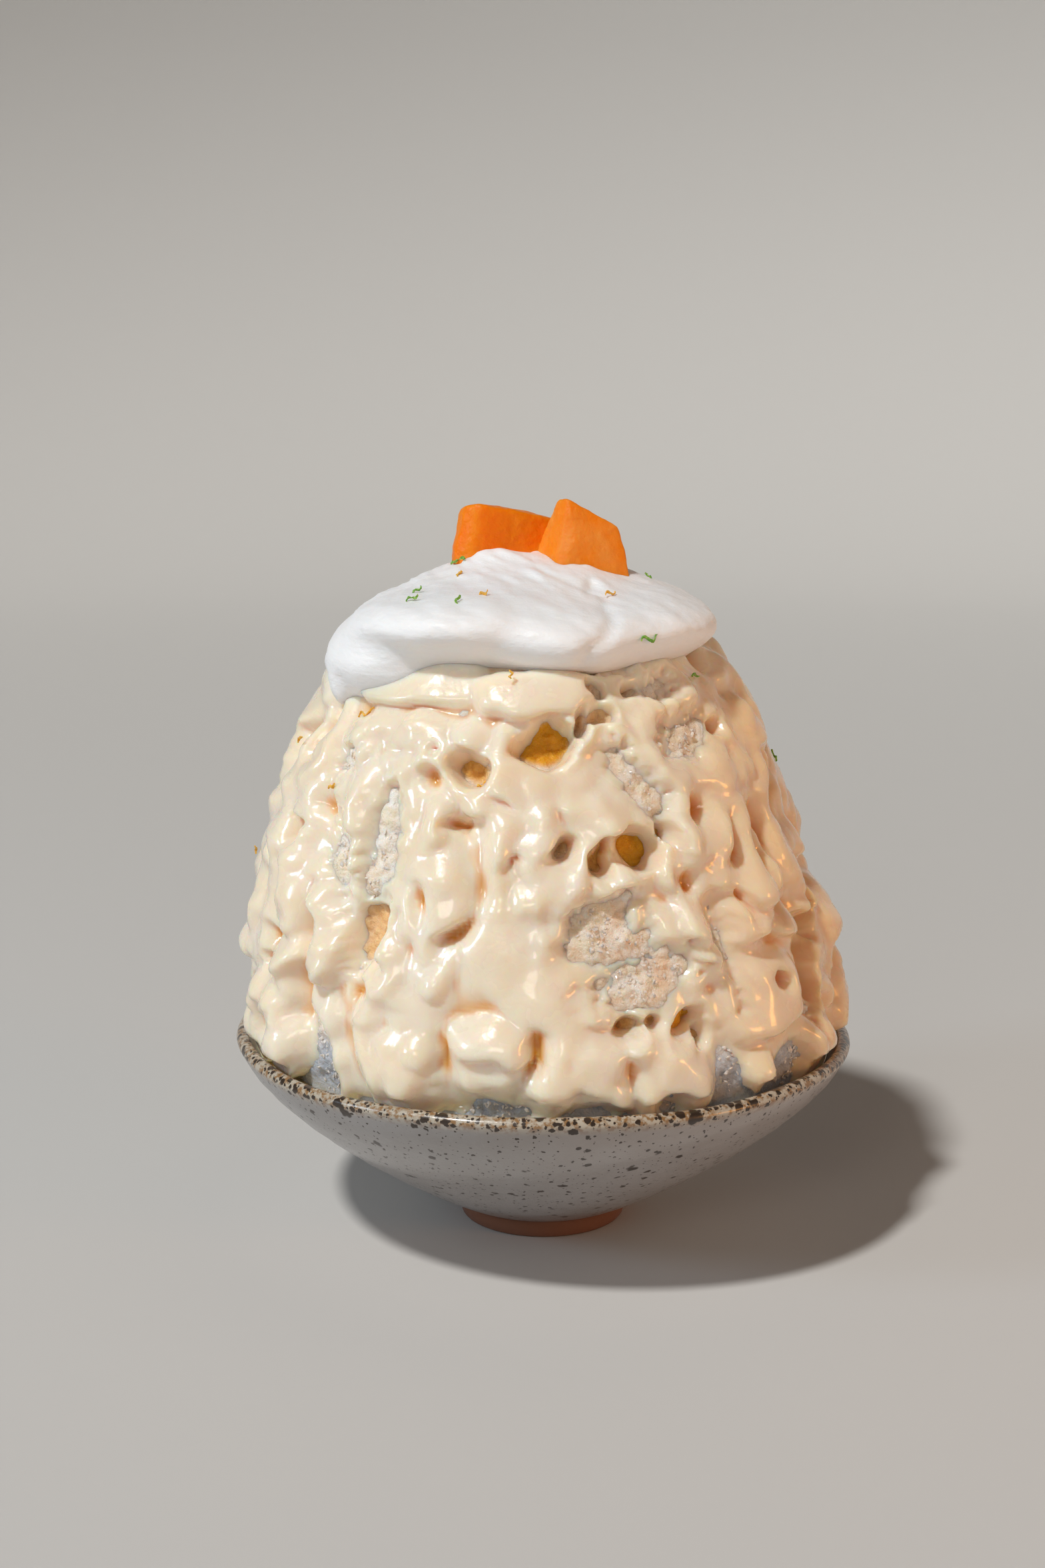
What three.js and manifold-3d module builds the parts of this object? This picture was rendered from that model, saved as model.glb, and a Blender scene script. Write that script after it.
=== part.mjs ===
// A bowl of shaved ice dessert: a stoneware bowl heaped with shaved ice, thick milk cream
// poured over the heap, a cap of whipped cream, two cut chunks of orange fruit, citrus zest.
// Millimetres, +Z up, origin under the middle of the bowl's foot, -Y towards the diner.
// A bearing is measured round the bowl in degrees: 0 at the front (-Y), +90 at the right (+X).
import * as THREE from "three";
import { mergeVertices } from "three/addons/utils/BufferGeometryUtils.js";
import { ConvexGeometry } from "three/addons/geometries/ConvexGeometry.js";
import Module from "manifold-3d";

const wasm = await Module();
wasm.setup();

// ---- driving dimensions ------------------------------------------------------------------
const RIM_RADIUS = 75;
const BOWL_HEIGHT = 48;
const WALL = 3.1;
const FOOT_RADIUS = 20.3;
const FOOT_HEIGHT = 4.8;
const GAP = 0.35; // between pieces that rest on each other

const HEAP_RADIUS = 68.8; // the ice where it leaves the bowl
const HEAP_BASE = 50; // height at which the dome starts
const HEAP_TOP = 150;
const HEAP_FULLNESS = 1.15; // how late the sides start to close
const HEAP_SHOULDER = 4; // how round the shoulder is
const HEAP_TUCK = 0.965; // how far the heap draws in above the rim, as a share
const LEAN_LOW = 1.5; // sideways shift of the heap at the rim
const LEAN_HIGH = -2.5; // and near its top

const SHEET = 2.2; // thin cream between the runs
const CREAM_HEM = 43; // the lowest that a drip reaches
const CAP_EDGE = 143; // above this the milk cream lies under the whipped cream

// ---- small helpers -----------------------------------------------------------------------
const clamp = (x, low, high) => Math.min(high, Math.max(low, x));
const mix = (a, b, t) => a + (b - a) * t;
const ease = (a, b, x) => {
  const t = clamp((x - a) / (b - a), 0, 1);
  return t * t * (3 - 2 * t);
};
const radians = THREE.MathUtils.degToRad;

// A repeatable number from 0 to 1 for each n.
function chance(n) {
  const x = Math.sin(n * 12.9898 + 78.233) * 43758.5453;
  return x - Math.floor(x);
}

// Smooth noise from -1 to 1, with lumps about one unit wide.
function noise(x, y, z) {
  const [i, j, k] = [Math.floor(x), Math.floor(y), Math.floor(z)];
  const [u, v, w] = [ease(0, 1, x - i), ease(0, 1, y - j), ease(0, 1, z - k)];
  const at = (a, b, c) => chance(i + a + 57 * (j + b) + 113 * (k + c));
  const edge = (b, c) => mix(at(0, b, c), at(1, b, c), u);
  return 2 * mix(mix(edge(0, 0), edge(1, 0), v), mix(edge(0, 1), edge(1, 1), v), w) - 1;
}

// The same at a point in millimetres, in lumps of a size; shift picks another part of it.
const lumpy = (p, size, shift = 0, tall = size) => noise((p.x + shift) / size, (p.y + shift) / size, (p.z + shift) / tall);

// The larger of two heights, with a fillet of size k where they meet.
function blendUp(a, b, k) {
  const h = clamp(0.5 + (0.5 * (a - b)) / k, 0, 1);
  return mix(b, a, h) + k * h * (1 - h);
}

// Moves every vertex of a geometry to the place that a rule gives it.
function reshape(geometry, rule) {
  const position = geometry.getAttribute("position");
  const point = new THREE.Vector3();
  for (let i = 0; i < position.count; i++) {
    const moved = rule(point.fromBufferAttribute(position, i));
    position.setXYZ(i, moved.x, moved.y, moved.z);
  }
  return geometry;
}

// A closed body turned about +Z from a line of [radius, height], bottom to top.
function turn(line, sides) {
  const points = line.map(([radius, z]) => new THREE.Vector2(radius, z));
  return new THREE.LatheGeometry(points, sides).rotateX(Math.PI / 2);
}

const bearingOf = (point) => THREE.MathUtils.radToDeg(Math.atan2(point.x, -point.y));

function toSolid(geometry) {
  geometry.deleteAttribute("normal");
  geometry.deleteAttribute("uv");
  const merged = mergeVertices(geometry, 1e-4);
  return new wasm.Manifold(
    new wasm.Mesh({
      numProp: 3,
      vertProperties: new Float32Array(merged.attributes.position.array),
      triVerts: new Uint32Array(merged.index.array),
    }),
  );
}

// The solid's largest body as a geometry: loose scraps are dropped.
function toGeometry(solid) {
  const whole = solid.decompose().sort((a, b) => b.volume() - a.volume())[0];
  const { vertProperties, triVerts } = whole.getMesh();
  const geometry = new THREE.BufferGeometry();
  geometry.setAttribute("position", new THREE.BufferAttribute(vertProperties, 3));
  geometry.setIndex([...triVerts]);
  geometry.computeVertexNormals();
  return geometry;
}

// ---- the bowl: wheel-thrown stoneware with a small turned foot ----------------------------
const BOWL_SIDES = 40;
const BOWL_STEPS = 7;
const LIP_STEPS = 3;
const FOOT_RING = 4.5; // width of the ring that the foot stands on
const RIM_TILT = 0.8; // the thrown rim stands higher on the left

// The wall's outer line, foot to rim, as a curve of (radius, height).
const bowlLine = new THREE.CubicBezierCurve(
  new THREE.Vector2(FOOT_RADIUS + 1.5, FOOT_HEIGHT),
  new THREE.Vector2(FOOT_RADIUS + 10, FOOT_HEIGHT + 3.4),
  new THREE.Vector2(RIM_RADIUS - 5.6, BOWL_HEIGHT - 16.2),
  new THREE.Vector2(RIM_RADIUS, BOWL_HEIGHT - WALL / 2),
);

// A point beside the outer line: out is how far outside it lies, below 0 inside.
function besideBowlLine(t, out) {
  const along = bowlLine.getTangent(t);
  return bowlLine.getPoint(t).add(new THREE.Vector2(along.y * out, -along.x * out));
}

// The radius of the bowl's inside at a height.
function bowlInside(z) {
  let [low, high] = [0, 1];
  for (let step = 0; step < 30; step++) {
    const middle = (low + high) / 2;
    if (besideBowlLine(middle, -WALL).y < z) low = middle;
    else high = middle;
  }
  return besideBowlLine(low, -WALL).x;
}

// The cross-section, from the axis under the foot round to the axis inside. grow fattens it.
function bowlSection(grow) {
  const recess = FOOT_HEIGHT * 0.4; // the hollow turned under the foot
  const line = [
    [0, recess - grow],
    [FOOT_RADIUS - FOOT_RING, recess - grow],
    [FOOT_RADIUS - FOOT_RING + 0.6, -grow],
    [FOOT_RADIUS - 0.7 + grow, -grow],
    [FOOT_RADIUS + grow, 0.7],
    [FOOT_RADIUS + 0.6 + grow, FOOT_HEIGHT - 0.5 - grow],
  ];
  for (let i = 0; i <= BOWL_STEPS; i++) line.push(besideBowlLine(i / BOWL_STEPS, grow).toArray());
  const lip = besideBowlLine(1, -WALL / 2);
  const along = bowlLine.getTangent(1);
  for (let i = 1; i < LIP_STEPS; i++) {
    const a = Math.atan2(-along.x, along.y) + (Math.PI * i) / LIP_STEPS;
    const r = WALL / 2 + grow;
    line.push([lip.x + r * Math.cos(a), lip.y + r * Math.sin(a)]);
  }
  for (let i = BOWL_STEPS; i >= 0; i--) line.push(besideBowlLine(i / BOWL_STEPS, -WALL - grow).toArray());
  line.push([0, besideBowlLine(0, -WALL - grow).y]);
  return line;
}

// The rim is a little higher on one side: a lift that fades out towards the foot.
const rimLift = (x, z) => Math.max(0, z / BOWL_HEIGHT) ** 2 * RIM_TILT * (-x / RIM_RADIUS);

function bowlGeometry(grow = 0) {
  return reshape(turn(bowlSection(grow), BOWL_SIDES), (p) => p.setZ(p.z + rimLift(p.x, p.z)));
}

// ---- the heap's own surface, which the ice and the milk cream are both built on ------------
function heapRadius(z) {
  const u = clamp((z - HEAP_BASE) / (HEAP_TOP - HEAP_BASE), 0, 1);
  return HEAP_RADIUS * (1 - u ** HEAP_FULLNESS) ** (1 / HEAP_SHOULDER) * mix(HEAP_TUCK, 1, ease(42, 57, z));
}

const heapShift = (z) => mix(LEAN_LOW, LEAN_HIGH, ease(HEAP_BASE - 4, 105, z));

function heapPoint(bearing, z, radius = heapRadius(z)) {
  const a = radians(bearing);
  return new THREE.Vector3(heapShift(z) + radius * Math.sin(a), -radius * Math.cos(a), z);
}

// Outward normal of the heap, from its slope.
function heapNormal(bearing, z) {
  const [low, high] = [Math.max(z - 0.5, HEAP_BASE - 10), Math.min(z + 0.5, HEAP_TOP)];
  const slope = (heapRadius(high) - heapRadius(low)) / (high - low);
  const a = radians(bearing);
  return new THREE.Vector3(Math.sin(a), -Math.cos(a), -slope).normalize();
}

// A line of [radius, height] up the heap, its points evenly spaced along the curve.
function heapLine(low, high, count) {
  const path = new THREE.Path();
  path.moveTo(heapRadius(low), low);
  for (let i = 1; i <= 200; i++) {
    const z = mix(low, high, 1 - (1 - i / 200) ** 2);
    path.lineTo(heapRadius(z), z);
  }
  return path.getSpacedPoints(count - 1).map((p) => p.toArray());
}

// ---- openings: places where the milk cream has parted and the ice shows --------------------
// bearing, height, half width, half length, slant in degrees, and how deep the ice lies there:
// below 1 it is nearly flush.
const windows = [
  [2, 126.3, 7.4, 5, 0, 4],
  [21, 101.6, 5.6, 5.2, 20, 4.4],
  [28, 106.7, 2.6, 2.8, 20, 3.4],
  [14, 99.9, 2.4, 3.6, -10, 3.4],
  [29, 136.5, 2.8, 2.6, 0, 3.2],
  [37, 136.3, 3.8, 2.4, 0, 0.3],
  [17, 137.5, 3, 2.8, 0, 3],
  [19, 130.2, 3.2, 2.8, 0, 2.2],
  [41, 126.2, 5.4, 3.8, 30, 0.6],
  [24.5, 115.3, 2.8, 8, 22, -0.8],
  [-14, 120.5, 3.9, 3.6, 0, 3.4],
  [-15, 108.9, 3, 2.4, 0, 3.6],
  [-33.5, 106, 2.4, 6.6, -3, -0.8],
  [-35, 96, 2.9, 5, -8, -0.8],
  [-46, 99, 2.4, 7, 14, -0.8],
  [-62, 103, 2.9, 3.2, 30, 2.8],
  [-36.5, 84.5, 5, 9, -14, 2.4],
  [13, 87, 6.6, 4.8, 22, -1.4],
  [19, 83.5, 3.4, 2.4, 30, -1.2],
  [20.5, 75.5, 9.4, 5.2, 8, -0.6],
  [16, 66.2, 3, 2.6, 0, 3],
  [28, 64.5, 4.2, 2.9, 18, 4],
  [31.5, 61.2, 2.6, 2.8, 0, 3.4],
  [-47, 53, 5, 9, 4, -0.3],
  [-11, 48, 10, 2.8, 0, 0.4],
  [35, 55, 3.4, 8, 8, 0.4],
  [53, 50, 6.4, 5.6, 0, 0.4],
];

// Round the sides and back the same kinds of opening follow a rule, above and at the rim.
const BACK_WINDOWS = 18;
const BACK_HEM_GAPS = 6;
for (let i = 0; i < BACK_WINDOWS; i++) {
  const width = mix(2.6, 5.2, chance(i));
  const length = width * mix(0.9, 2, chance(i + 40));
  const depth = chance(i + 90) > 0.5 ? 2.4 : -0.8;
  windows.push([62 + ((i * 137.5) % 228), mix(66, 130, (i * 0.618) % 1), width, length, 40 * chance(i + 60) - 20, depth]);
}
for (let i = 0; i < BACK_HEM_GAPS; i++) {
  windows.push([95 + i * 34, 49, mix(6, 10, chance(i + 200)), mix(4, 8, chance(i + 210)), 0, 0.2]);
}

// How far a point of the heap lies across and down from a place on it.
function beside([bearing, height], pointBearing, z) {
  const angle = ((pointBearing - bearing + 540) % 360) - 180;
  const slope = (heapRadius(height + 1) - heapRadius(height - 1)) / 2;
  return [radians(angle) * heapRadius((z + height) / 2), (height - z) * Math.hypot(1, slope)];
}

// The same turned by the slant and measured in half widths and half lengths.
function shareAway(opening, pointBearing, z) {
  const [across, down] = beside(opening, pointBearing, z);
  const [, , width, length, slant] = opening;
  const a = radians(slant);
  const u = (across * Math.cos(a) - down * Math.sin(a)) / width;
  const v = (across * Math.sin(a) + down * Math.cos(a)) / length;
  return [u, v];
}

// Distance in mm from a point of the heap to an opening's edge, below 0 inside it. A power
// above 2 squares the opening's corners.
function fromEdge(opening, pointBearing, z, power = 2) {
  const [u, v] = shareAway(opening, pointBearing, z).map(Math.abs);
  return ((u ** power + v ** power) ** (1 / power) - 1) * Math.min(opening[2], opening[3]);
}

// Bearing and height pushed about, so that straight runs and openings wander.
function drifted(bearing, z) {
  const p = heapPoint(bearing, z);
  const aside = 2.6 * lumpy(p, 21) + 1.1 * lumpy(p, 9, 50);
  const along = 2.6 * lumpy(p, 21, 90) + 1.1 * lumpy(p, 9, 70);
  return [bearing + THREE.MathUtils.radToDeg(aside / Math.max(heapRadius(z), 12)), z + along];
}

// Dents, which the cream lines, steep above and shallow below: bearing, height, half width,
// half length, slant and depth.
const dents = [
  [-22, 116, 3.2, 3.6, 10, 4], [-68, 124, 3.2, 4.2, 0, 5], [-65, 79, 3.2, 3.4, 0, 4.4],
  [-23, 94, 3, 5.4, 2, 4.6], [-29, 89, 3, 4.4, 0, 3.4], [-16, 86, 4.6, 3, 24, 4],
  [-3.5, 62, 3, 6, -18, 5], [-53, 110, 3.2, 4, 60, 3.4], [-52, 84, 3, 9, 0, 5.2],
  [-51, 66, 3, 7, 0, 5], [34, 70, 3.2, 5, 20, 3.8], [38, 112, 3.2, 6, 0, 4.2],
  [47, 104, 3.2, 7, -10, 5], [55, 96, 3.2, 6, 0, 5], [62, 84, 3.2, 6, 0, 5],
  [45, 92, 3.2, 4.4, 10, 4.2], [58, 69, 3.2, 4.4, 0, 5],
];
const SPREAD_DENTS = 70;
for (let i = 0; i < SPREAD_DENTS; i++) {
  const height = 56 + 84 * ((i + 0.5) / SPREAD_DENTS) ** 1.1;
  const bearing = 58 + ((i * 137.508 + 40) % 238);
  const width = mix(3, 3.8, chance(i + 1100));
  dents.push([bearing, height, width, width * mix(1, 2.4, chance(i + 1200)), 60 * chance(i + 1300) - 30, 4.6]);
}

function dentDepth(bearing, z) {
  let depth = 0;
  for (const dent of dents) {
    if (Math.abs(z - dent[1]) > 2 * dent[3] + 4) continue;
    const [u, v] = shareAway(dent, bearing, z);
    const steep = v < 0 ? 1.5 * v : 0.8 * v;
    depth = Math.max(depth, dent[5] * Math.exp(-u * u - steep * steep));
  }
  return depth;
}

// ---- the ice: packed into the bowl, heaped above it, rough where it shows ------------------
const ICE_SIDES = 39;
const ICE_ROWS = 13;
const CRAG = 0.9; // height of the crags in the shaved ice

function iceRelief(bearing, z) {
  const p = heapPoint(bearing, z);
  const place = drifted(bearing, z);
  let relief = CRAG * lumpy(p, 9, 0, 6) - dentDepth(...place);
  for (const opening of windows) relief -= opening[5] * ease(2, -1.5, fromEdge(opening, ...place));
  return relief * ease(HEAP_TOP - 1, HEAP_TOP - 12, z) * ease(44, 50, z);
}

function iceGeometry(grow = 0) {
  const clear = GAP + 0.5 - grow; // from the bowl's inside
  const line = [[0, besideBowlLine(0, -WALL).y + clear]];
  for (const t of [0.1, 0.4, 0.7]) {
    const { x, y } = besideBowlLine(t, -WALL);
    line.push([x - clear, y + clear]);
  }
  line.push([Math.min(bowlInside(43) - clear * 1.5, HEAP_RADIUS - 1), 43]);
  line.push(...heapLine(46.5, HEAP_TOP - 0.6, ICE_ROWS), [0, HEAP_TOP + grow]);
  return reshape(turn(line, ICE_SIDES), (p) => {
    const radius = Math.hypot(p.x, p.y);
    if (p.z > HEAP_TOP - 0.6) return p.setX(LEAN_HIGH);
    if (p.z < 46) return p.setZ(p.z + rimLift(p.x, p.z));
    const bearing = bearingOf(p);
    return heapPoint(bearing, p.z, radius).addScaledVector(heapNormal(bearing, p.z), iceRelief(bearing, p.z) + grow);
  });
}

// ---- the milk cream: poured from the top, it runs down in ropes, slabs and drips -----------
// Each run of the front: bearing and height of its start, then of its end, half width at the
// start and at the end, and how far it stands up.
const frontRuns = [
  [-48, 125, -48, 123, 6, 6, 7],
  [-40, 117, -40, 110, 6, 6, 4.5],
  [-30, 127, -12, 113, 7, 5, 4.5],
  [-72, 122, -62, 110, 5, 5.5, 5.5], // ropes and blobs down the left
  [-58, 117, -60, 95, 5.5, 6, 5.5],
  [-57, 92, -57, 76, 5.5, 6, 6],
  [-58, 74, -59, 54, 6, 7.5, 6.5],
  [-48, 88, -45, 75, 5.5, 6.5, 6.5],
  [-46, 69, -45, 61, 5.5, 5.5, 6.5],
  [-44, 58, -43, 55, 4.5, 4.5, 5],
  [-78, 104, -76, 84, 7, 7, 5.5],
  [-76, 78, -72, 51, 6, 7, 6],
  [-5, 118, 6, 96, 10, 11, 5], // the broad smooth middle
  [-22, 100, -20, 84, 9, 9, 5.5],
  [-30, 76, -34, 74, 6, 6, 7],
  [-24, 72, -27, 54, 10, 9, 6],
  [-33, 66, -31, 52, 5, 6, 6],
  [-29, 54, -28, 48.5, 5, 4.6, 6],
  [-6, 84, 4, 68, 12, 11, 5],
  [-14, 64, -4, 63, 6, 6, 7.5],
  [-10, 60, -10, 56, 9, 9, 5.5],
  [-1, 60, -1, 52, 6, 7, 6],
  [9, 70, 9, 51, 7, 7, 5.6],
  [18, 68, 19, 49, 4.5, 5, 6],
  [25, 60, 26, 51, 6, 8, 6.5],
  [30, 121, 37, 97, 8, 8, 6], // ropes down the right
  [9, 112, 16, 90, 4.5, 5.5, 4.5],
  [46, 118, 50, 90, 6, 7, 6],
  [30, 92, 34, 74, 6, 6.5, 6.5],
  [45, 86, 44, 66, 6.5, 8, 7],
  [58, 80, 63, 52, 7, 8, 6.5],
  [42, 57, 42, 53, 4.4, 4.4, 7], // one round drop
];

// Everywhere else runs are spread evenly over the dome by the golden angle.
const SPREAD_RUNS = 96;
const spreadRuns = [];
for (let i = 0; i < SPREAD_RUNS; i++) {
  const height = 54 + 88 * ((i + 0.5) / SPREAD_RUNS) ** 1.1;
  const bearing = ((i * 137.508) % 360) - 180;
  const small = Math.abs(bearing) < 62 && height < 134 ? 0.55 : 1;
  const drop = mix(10, 30, chance(i + 300)) * small;
  const width = mix(4.6, 7.4, chance(i + 500)) * small;
  const bulge = mix(4, 7, chance(i + 700)) * mix(0.7, 1, small);
  const drift = 10 * chance(i + 900) - 5;
  spreadRuns.push([bearing, height + drop / 2, bearing + drift, Math.max(height - drop / 2, 49), width, width * 1.2, bulge]);
}

// Each run is laid along the heap as a chain of points, thicker towards its end, in soft beads.
const RUN_STEPS = 8;
const BEAD = 13; // from one bead of a run to the next
const BEADING = 0.16; // how much a bead swells
const runs = [...frontRuns, ...spreadRuns].map(([b0, z0, b1, z1, w0, w1, bulge]) => {
  const at = (t) => heapPoint(mix(b0, b1, t), Math.min(mix(z0, z1, t), HEAP_TOP - 2));
  const length = at(0).distanceTo(at(1));
  const chain = [];
  for (let i = 0; i <= RUN_STEPS; i++) {
    const t = i / RUN_STEPS;
    const bead = 1 + BEADING * Math.sin((t * length * 2 * Math.PI) / BEAD + b0);
    chain.push({ at: at(t), width: mix(w0, w1, t) * bead, bulge: bulge * mix(0.8, 1.1, t) * bead });
  }
  return chain;
});

// How far a run stands up over a point of the heap, below 0 beside the run.
function runHeight(chain, point) {
  let best = -9;
  const part = new THREE.Vector3();
  for (let i = 0; i + 1 < chain.length; i++) {
    const [from, to] = [chain[i], chain[i + 1]];
    part.subVectors(to.at, from.at);
    const t = clamp(point.clone().sub(from.at).dot(part) / Math.max(part.lengthSq(), 1e-9), 0, 1);
    const share = part.multiplyScalar(t).add(from.at).distanceTo(point) / mix(from.width, to.width, t);
    const round = share < 1 ? Math.sqrt(1 - share * share) : 1 - share;
    best = Math.max(best, mix(from.bulge, to.bulge, t) * round);
  }
  return best;
}

// The sheet's lower edge climbs and falls round the bowl.
const HEM_WAVES = [[1.2, 2, 40], [1.5, 5, -20], [1.4, 11, 0]]; // height, count, turn in degrees
const hem = (bearing) => HEM_WAVES.reduce((z, [high, count, at]) => z + high * Math.sin(radians(count * bearing + at)), 48.5);

const LIP = 1.9; // radius of the rounded edge of the cream round a deep opening
const LIP_THIN = 1.2; // and round one that is nearly flush
const FILLET = 1.3; // where two runs meet
const roundEdge = (distance, lip = LIP) => Math.sqrt(1 - (1 - clamp(distance / lip, 0, 1)) ** 2);

// Flat-faced slabs that hang out from under the cap, and one low on the right: bearing, height,
// half width, half length, slant, how far they stand out, and the radius of their lip.
const slabs = [
  [-36, 137.5, 18, 7.2, 0, 5.6, 2.2],
  [1, 135.8, 13.5, 5.8, 2, 6.4, 2.6],
  [45, 68, 17, 9, 14, 5.4, 4],
];
const UNDERCUT = 0.5; // share of the cream's height that is left beside a slab

// Places where the cream lies smooth: bearing, height, half width, half length, slant.
const calmPlaces = [[-5, 76, 18, 14, 20], [-36, 136, 17, 7, 0], [-18, 91, 8, 6, 0]];

// Soft bumps with narrow creases between them, from about -0.3 up to 0.6.
const folded = (p) => Math.sqrt(lumpy(p, 8, 0, 10.5) ** 2 + 0.01) - 0.3;

// The nearest flush opening and the nearest deep one, as distances from their edges.
function nearestEdges(place) {
  let [flush, deep] = [99, 99];
  for (const opening of windows) {
    const edge = fromEdge(opening, ...place);
    if (opening[5] < 1) flush = Math.min(flush, edge);
    else deep = Math.min(deep, edge);
  }
  return [flush, deep];
}

function creamHeight(bearing, z) {
  const place = drifted(bearing, z);
  const point = heapPoint(...place);
  const overHem = place[1] - hem(place[0]);
  let height = overHem > 0 ? SHEET * roundEdge(overHem) : Math.max(-2, overHem);
  for (const chain of runs) {
    const run = runHeight(chain, point);
    if (run > height - FILLET) height = blendUp(height, run, FILLET);
  }
  const calm = calmPlaces.reduce((c, spot) => c * mix(0.3, 1, ease(-3, 4, fromEdge(spot, ...place))), 1);
  height += (1.2 * lumpy(point, 9, 0, 11) + 3 * folded(point)) * calm * ease(0, 3, height);
  for (const slab of slabs) {
    const inside = -fromEdge(slab, ...place, 3);
    height *= mix(UNDERCUT, 1, ease(0, 5, -inside));
    const flat = inside > 0 ? slab[5] * roundEdge(inside, slab[6]) : Math.max(-9, inside);
    height = blendUp(height, flat, 0.8);
  }
  height -= dentDepth(...place);
  height = mix(SHEET, height, ease(CAP_EDGE + 4, CAP_EDGE - 4, z)); // smooth under the whipped cream
  const [flush, deep] = nearestEdges(place);
  height *= mix(0.45, 1, ease(0, 6, flush)); // it thins out towards a flush opening
  if (flush < LIP_THIN) height = Math.min(height, flush > 0 ? height * roundEdge(flush, LIP_THIN) : Math.max(-2, flush));
  if (deep < LIP) height = Math.min(height, deep > 0 ? height * roundEdge(deep) : Math.max(-7, 3 * deep));
  return height;
}

const CREAM_SIDES = 84;
const CREAM_ROWS = 27;
const SAG = 0.5; // how far a bulge slumps, as a share of its height

// The outside of the milk cream, closed underneath inside the ice. grow fattens it.
function creamGeometry(grow = 0) {
  const line = [[0, CREAM_HEM - 2], [HEAP_RADIUS - 12, CREAM_HEM - 1.5]];
  line.push(...heapLine(CREAM_HEM, CAP_EDGE + 1, CREAM_ROWS));
  line.push([heapRadius(147.5), 147.5], [0, HEAP_TOP + SHEET + grow]);
  return reshape(turn(line, CREAM_SIDES), (p) => {
    if (p.z > HEAP_TOP || p.z < CREAM_HEM) return p.setX(p.x + heapShift(p.z));
    const bearing = bearingOf(p);
    const height = creamHeight(bearing, p.z);
    const out = heapNormal(bearing, p.z);
    const slump = SAG * Math.max(height - SHEET, 0) * ease(HEAP_TOP, CAP_EDGE, p.z);
    const place = heapPoint(bearing, p.z).addScaledVector(out, height + grow);
    place.z = Math.max(place.z - slump, CREAM_HEM - 1);
    const reach = Math.hypot(place.x, place.y);
    const rim = mix(RIM_RADIUS - WALL - 1, RIM_RADIUS - 0.3, ease(49.2, 51.2, place.z));
    const most = rim - 0.6 * Math.max(47.5 - place.z, 0) + grow;
    if (reach > most) place.multiply(new THREE.Vector3(most / reach, most / reach, 1));
    return place;
  });
}

// ---- the fruit: two chunks cut from an orange-fleshed fruit --------------------------------
const leftChunk = [
  [-20.4, 1.5, 174], [-18.7, -2.2, 175.4], [-15, -4.1, 175.6], [4, 1, 171.6], [-2, 12, 172.6],
  [-14, 10, 174.2], [-22.3, 2, 160.5], [-21.6, -2.4, 160], [-17.6, -5.1, 159.5], [5, 0.4, 158],
  [-3, 13, 159.5], [-16, 11, 160],
];
const LEFT_WEAR = 1.2; // how far its cut corners are worn back
const rightChunk = [
  [5.6, -8, 177.2], [3.2, -5.6, 176.8], [-2.5, 0.6, 163.2], [2.2, -12.7, 157], [7.2, -11.2, 167.4],
  [21, -9.2, 155.2], [17.5, -7.4, 170.6], [19.2, 7, 156.5], [14.4, 5, 168.4], [0, 2.2, 157],
  [6.2, -1, 174.6],
];
const RIGHT_WEAR = 0.7;

// The hull of the corners, each worn back along the way to every other corner.
function chunkGeometry(corners, wear, grow = 0) {
  const points = corners.map((c) => new THREE.Vector3(...c));
  const middle = points.reduce((sum, p) => sum.add(p), new THREE.Vector3()).divideScalar(points.length);
  const worn = points.flatMap((p) => {
    const out = p.clone().sub(middle).setLength(grow * 1.6);
    const others = points.filter((q) => q !== p);
    return others.map((q) => q.clone().sub(p).setLength(wear).add(p).add(out));
  });
  return new ConvexGeometry(worn);
}

// ---- the whipped cream: one soft dollop in a few lobes -------------------------------------
const DOLLOP = new THREE.Vector3(-4, 0, 141);
const DOLLOP_SIDES = 38;
const DOLLOP_ROWS = 18;
const DOLLOP_FLAT = 0.4; // draws the rows together round the edge, where it curves most
const LOBE_FILLET = 3.4;
const RIPPLE = 0.35;

// Centre and radii of each lobe.
const lobes = [
  [-4, 0, 146, 42, 41, 14.5],
  [-31, -13, 140.5, 20, 24, 11.5],
  [-16, -25, 149.9, 27, 22, 7.8],
  [5, -29, 146.8, 16, 19.5, 7.4],
  [20.5, -16, 149, 18.8, 23.5, 7.2],
  [21.5, 10, 147, 18, 21, 9],
  [4, 27, 144, 25, 20, 12],
  [-27, 21, 142, 22, 22, 12],
  [-3, 0, 156.8, 24, 22, 7],
  [-11, -6, 160.4, 7, 4.6, 5],
  [-46, -22, 134.6, 2.5, 2.6, 3.8],
];

// Near enough the distance to an ellipsoid, below 0 inside it.
function fromLobe([x, y, z, a, b, c], p) {
  const k = Math.hypot((p.x - x) / a, (p.y - y) / b, (p.z - z) / c);
  return (k - 1) * Math.min(a, b, c);
}
const fromDollop = (p) => lobes.reduce((d, lobe) => -blendUp(-d, -fromLobe(lobe, p), LOBE_FILLET), 50);

// The dollop's surface the given way from its middle, found by halving.
function dollopPoint(way) {
  const at = (r) => way.clone().multiplyScalar(r).add(DOLLOP);
  let [low, high] = [2, 60];
  for (let step = 0; step < 20; step++) {
    const middle = (low + high) / 2;
    if (fromDollop(at(middle)) > 0) high = middle;
    else low = middle;
  }
  const p = at(low);
  return p.addScaledVector(way, RIPPLE * noise(p.x / 7, p.y / 7, p.z / 4));
}

function dollopGeometry() {
  const ball = new THREE.SphereGeometry(1, DOLLOP_SIDES, DOLLOP_ROWS).rotateX(Math.PI / 2);
  return reshape(ball, (p) => dollopPoint(p.clone().setZ(p.z * DOLLOP_FLAT).normalize()));
}

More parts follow.
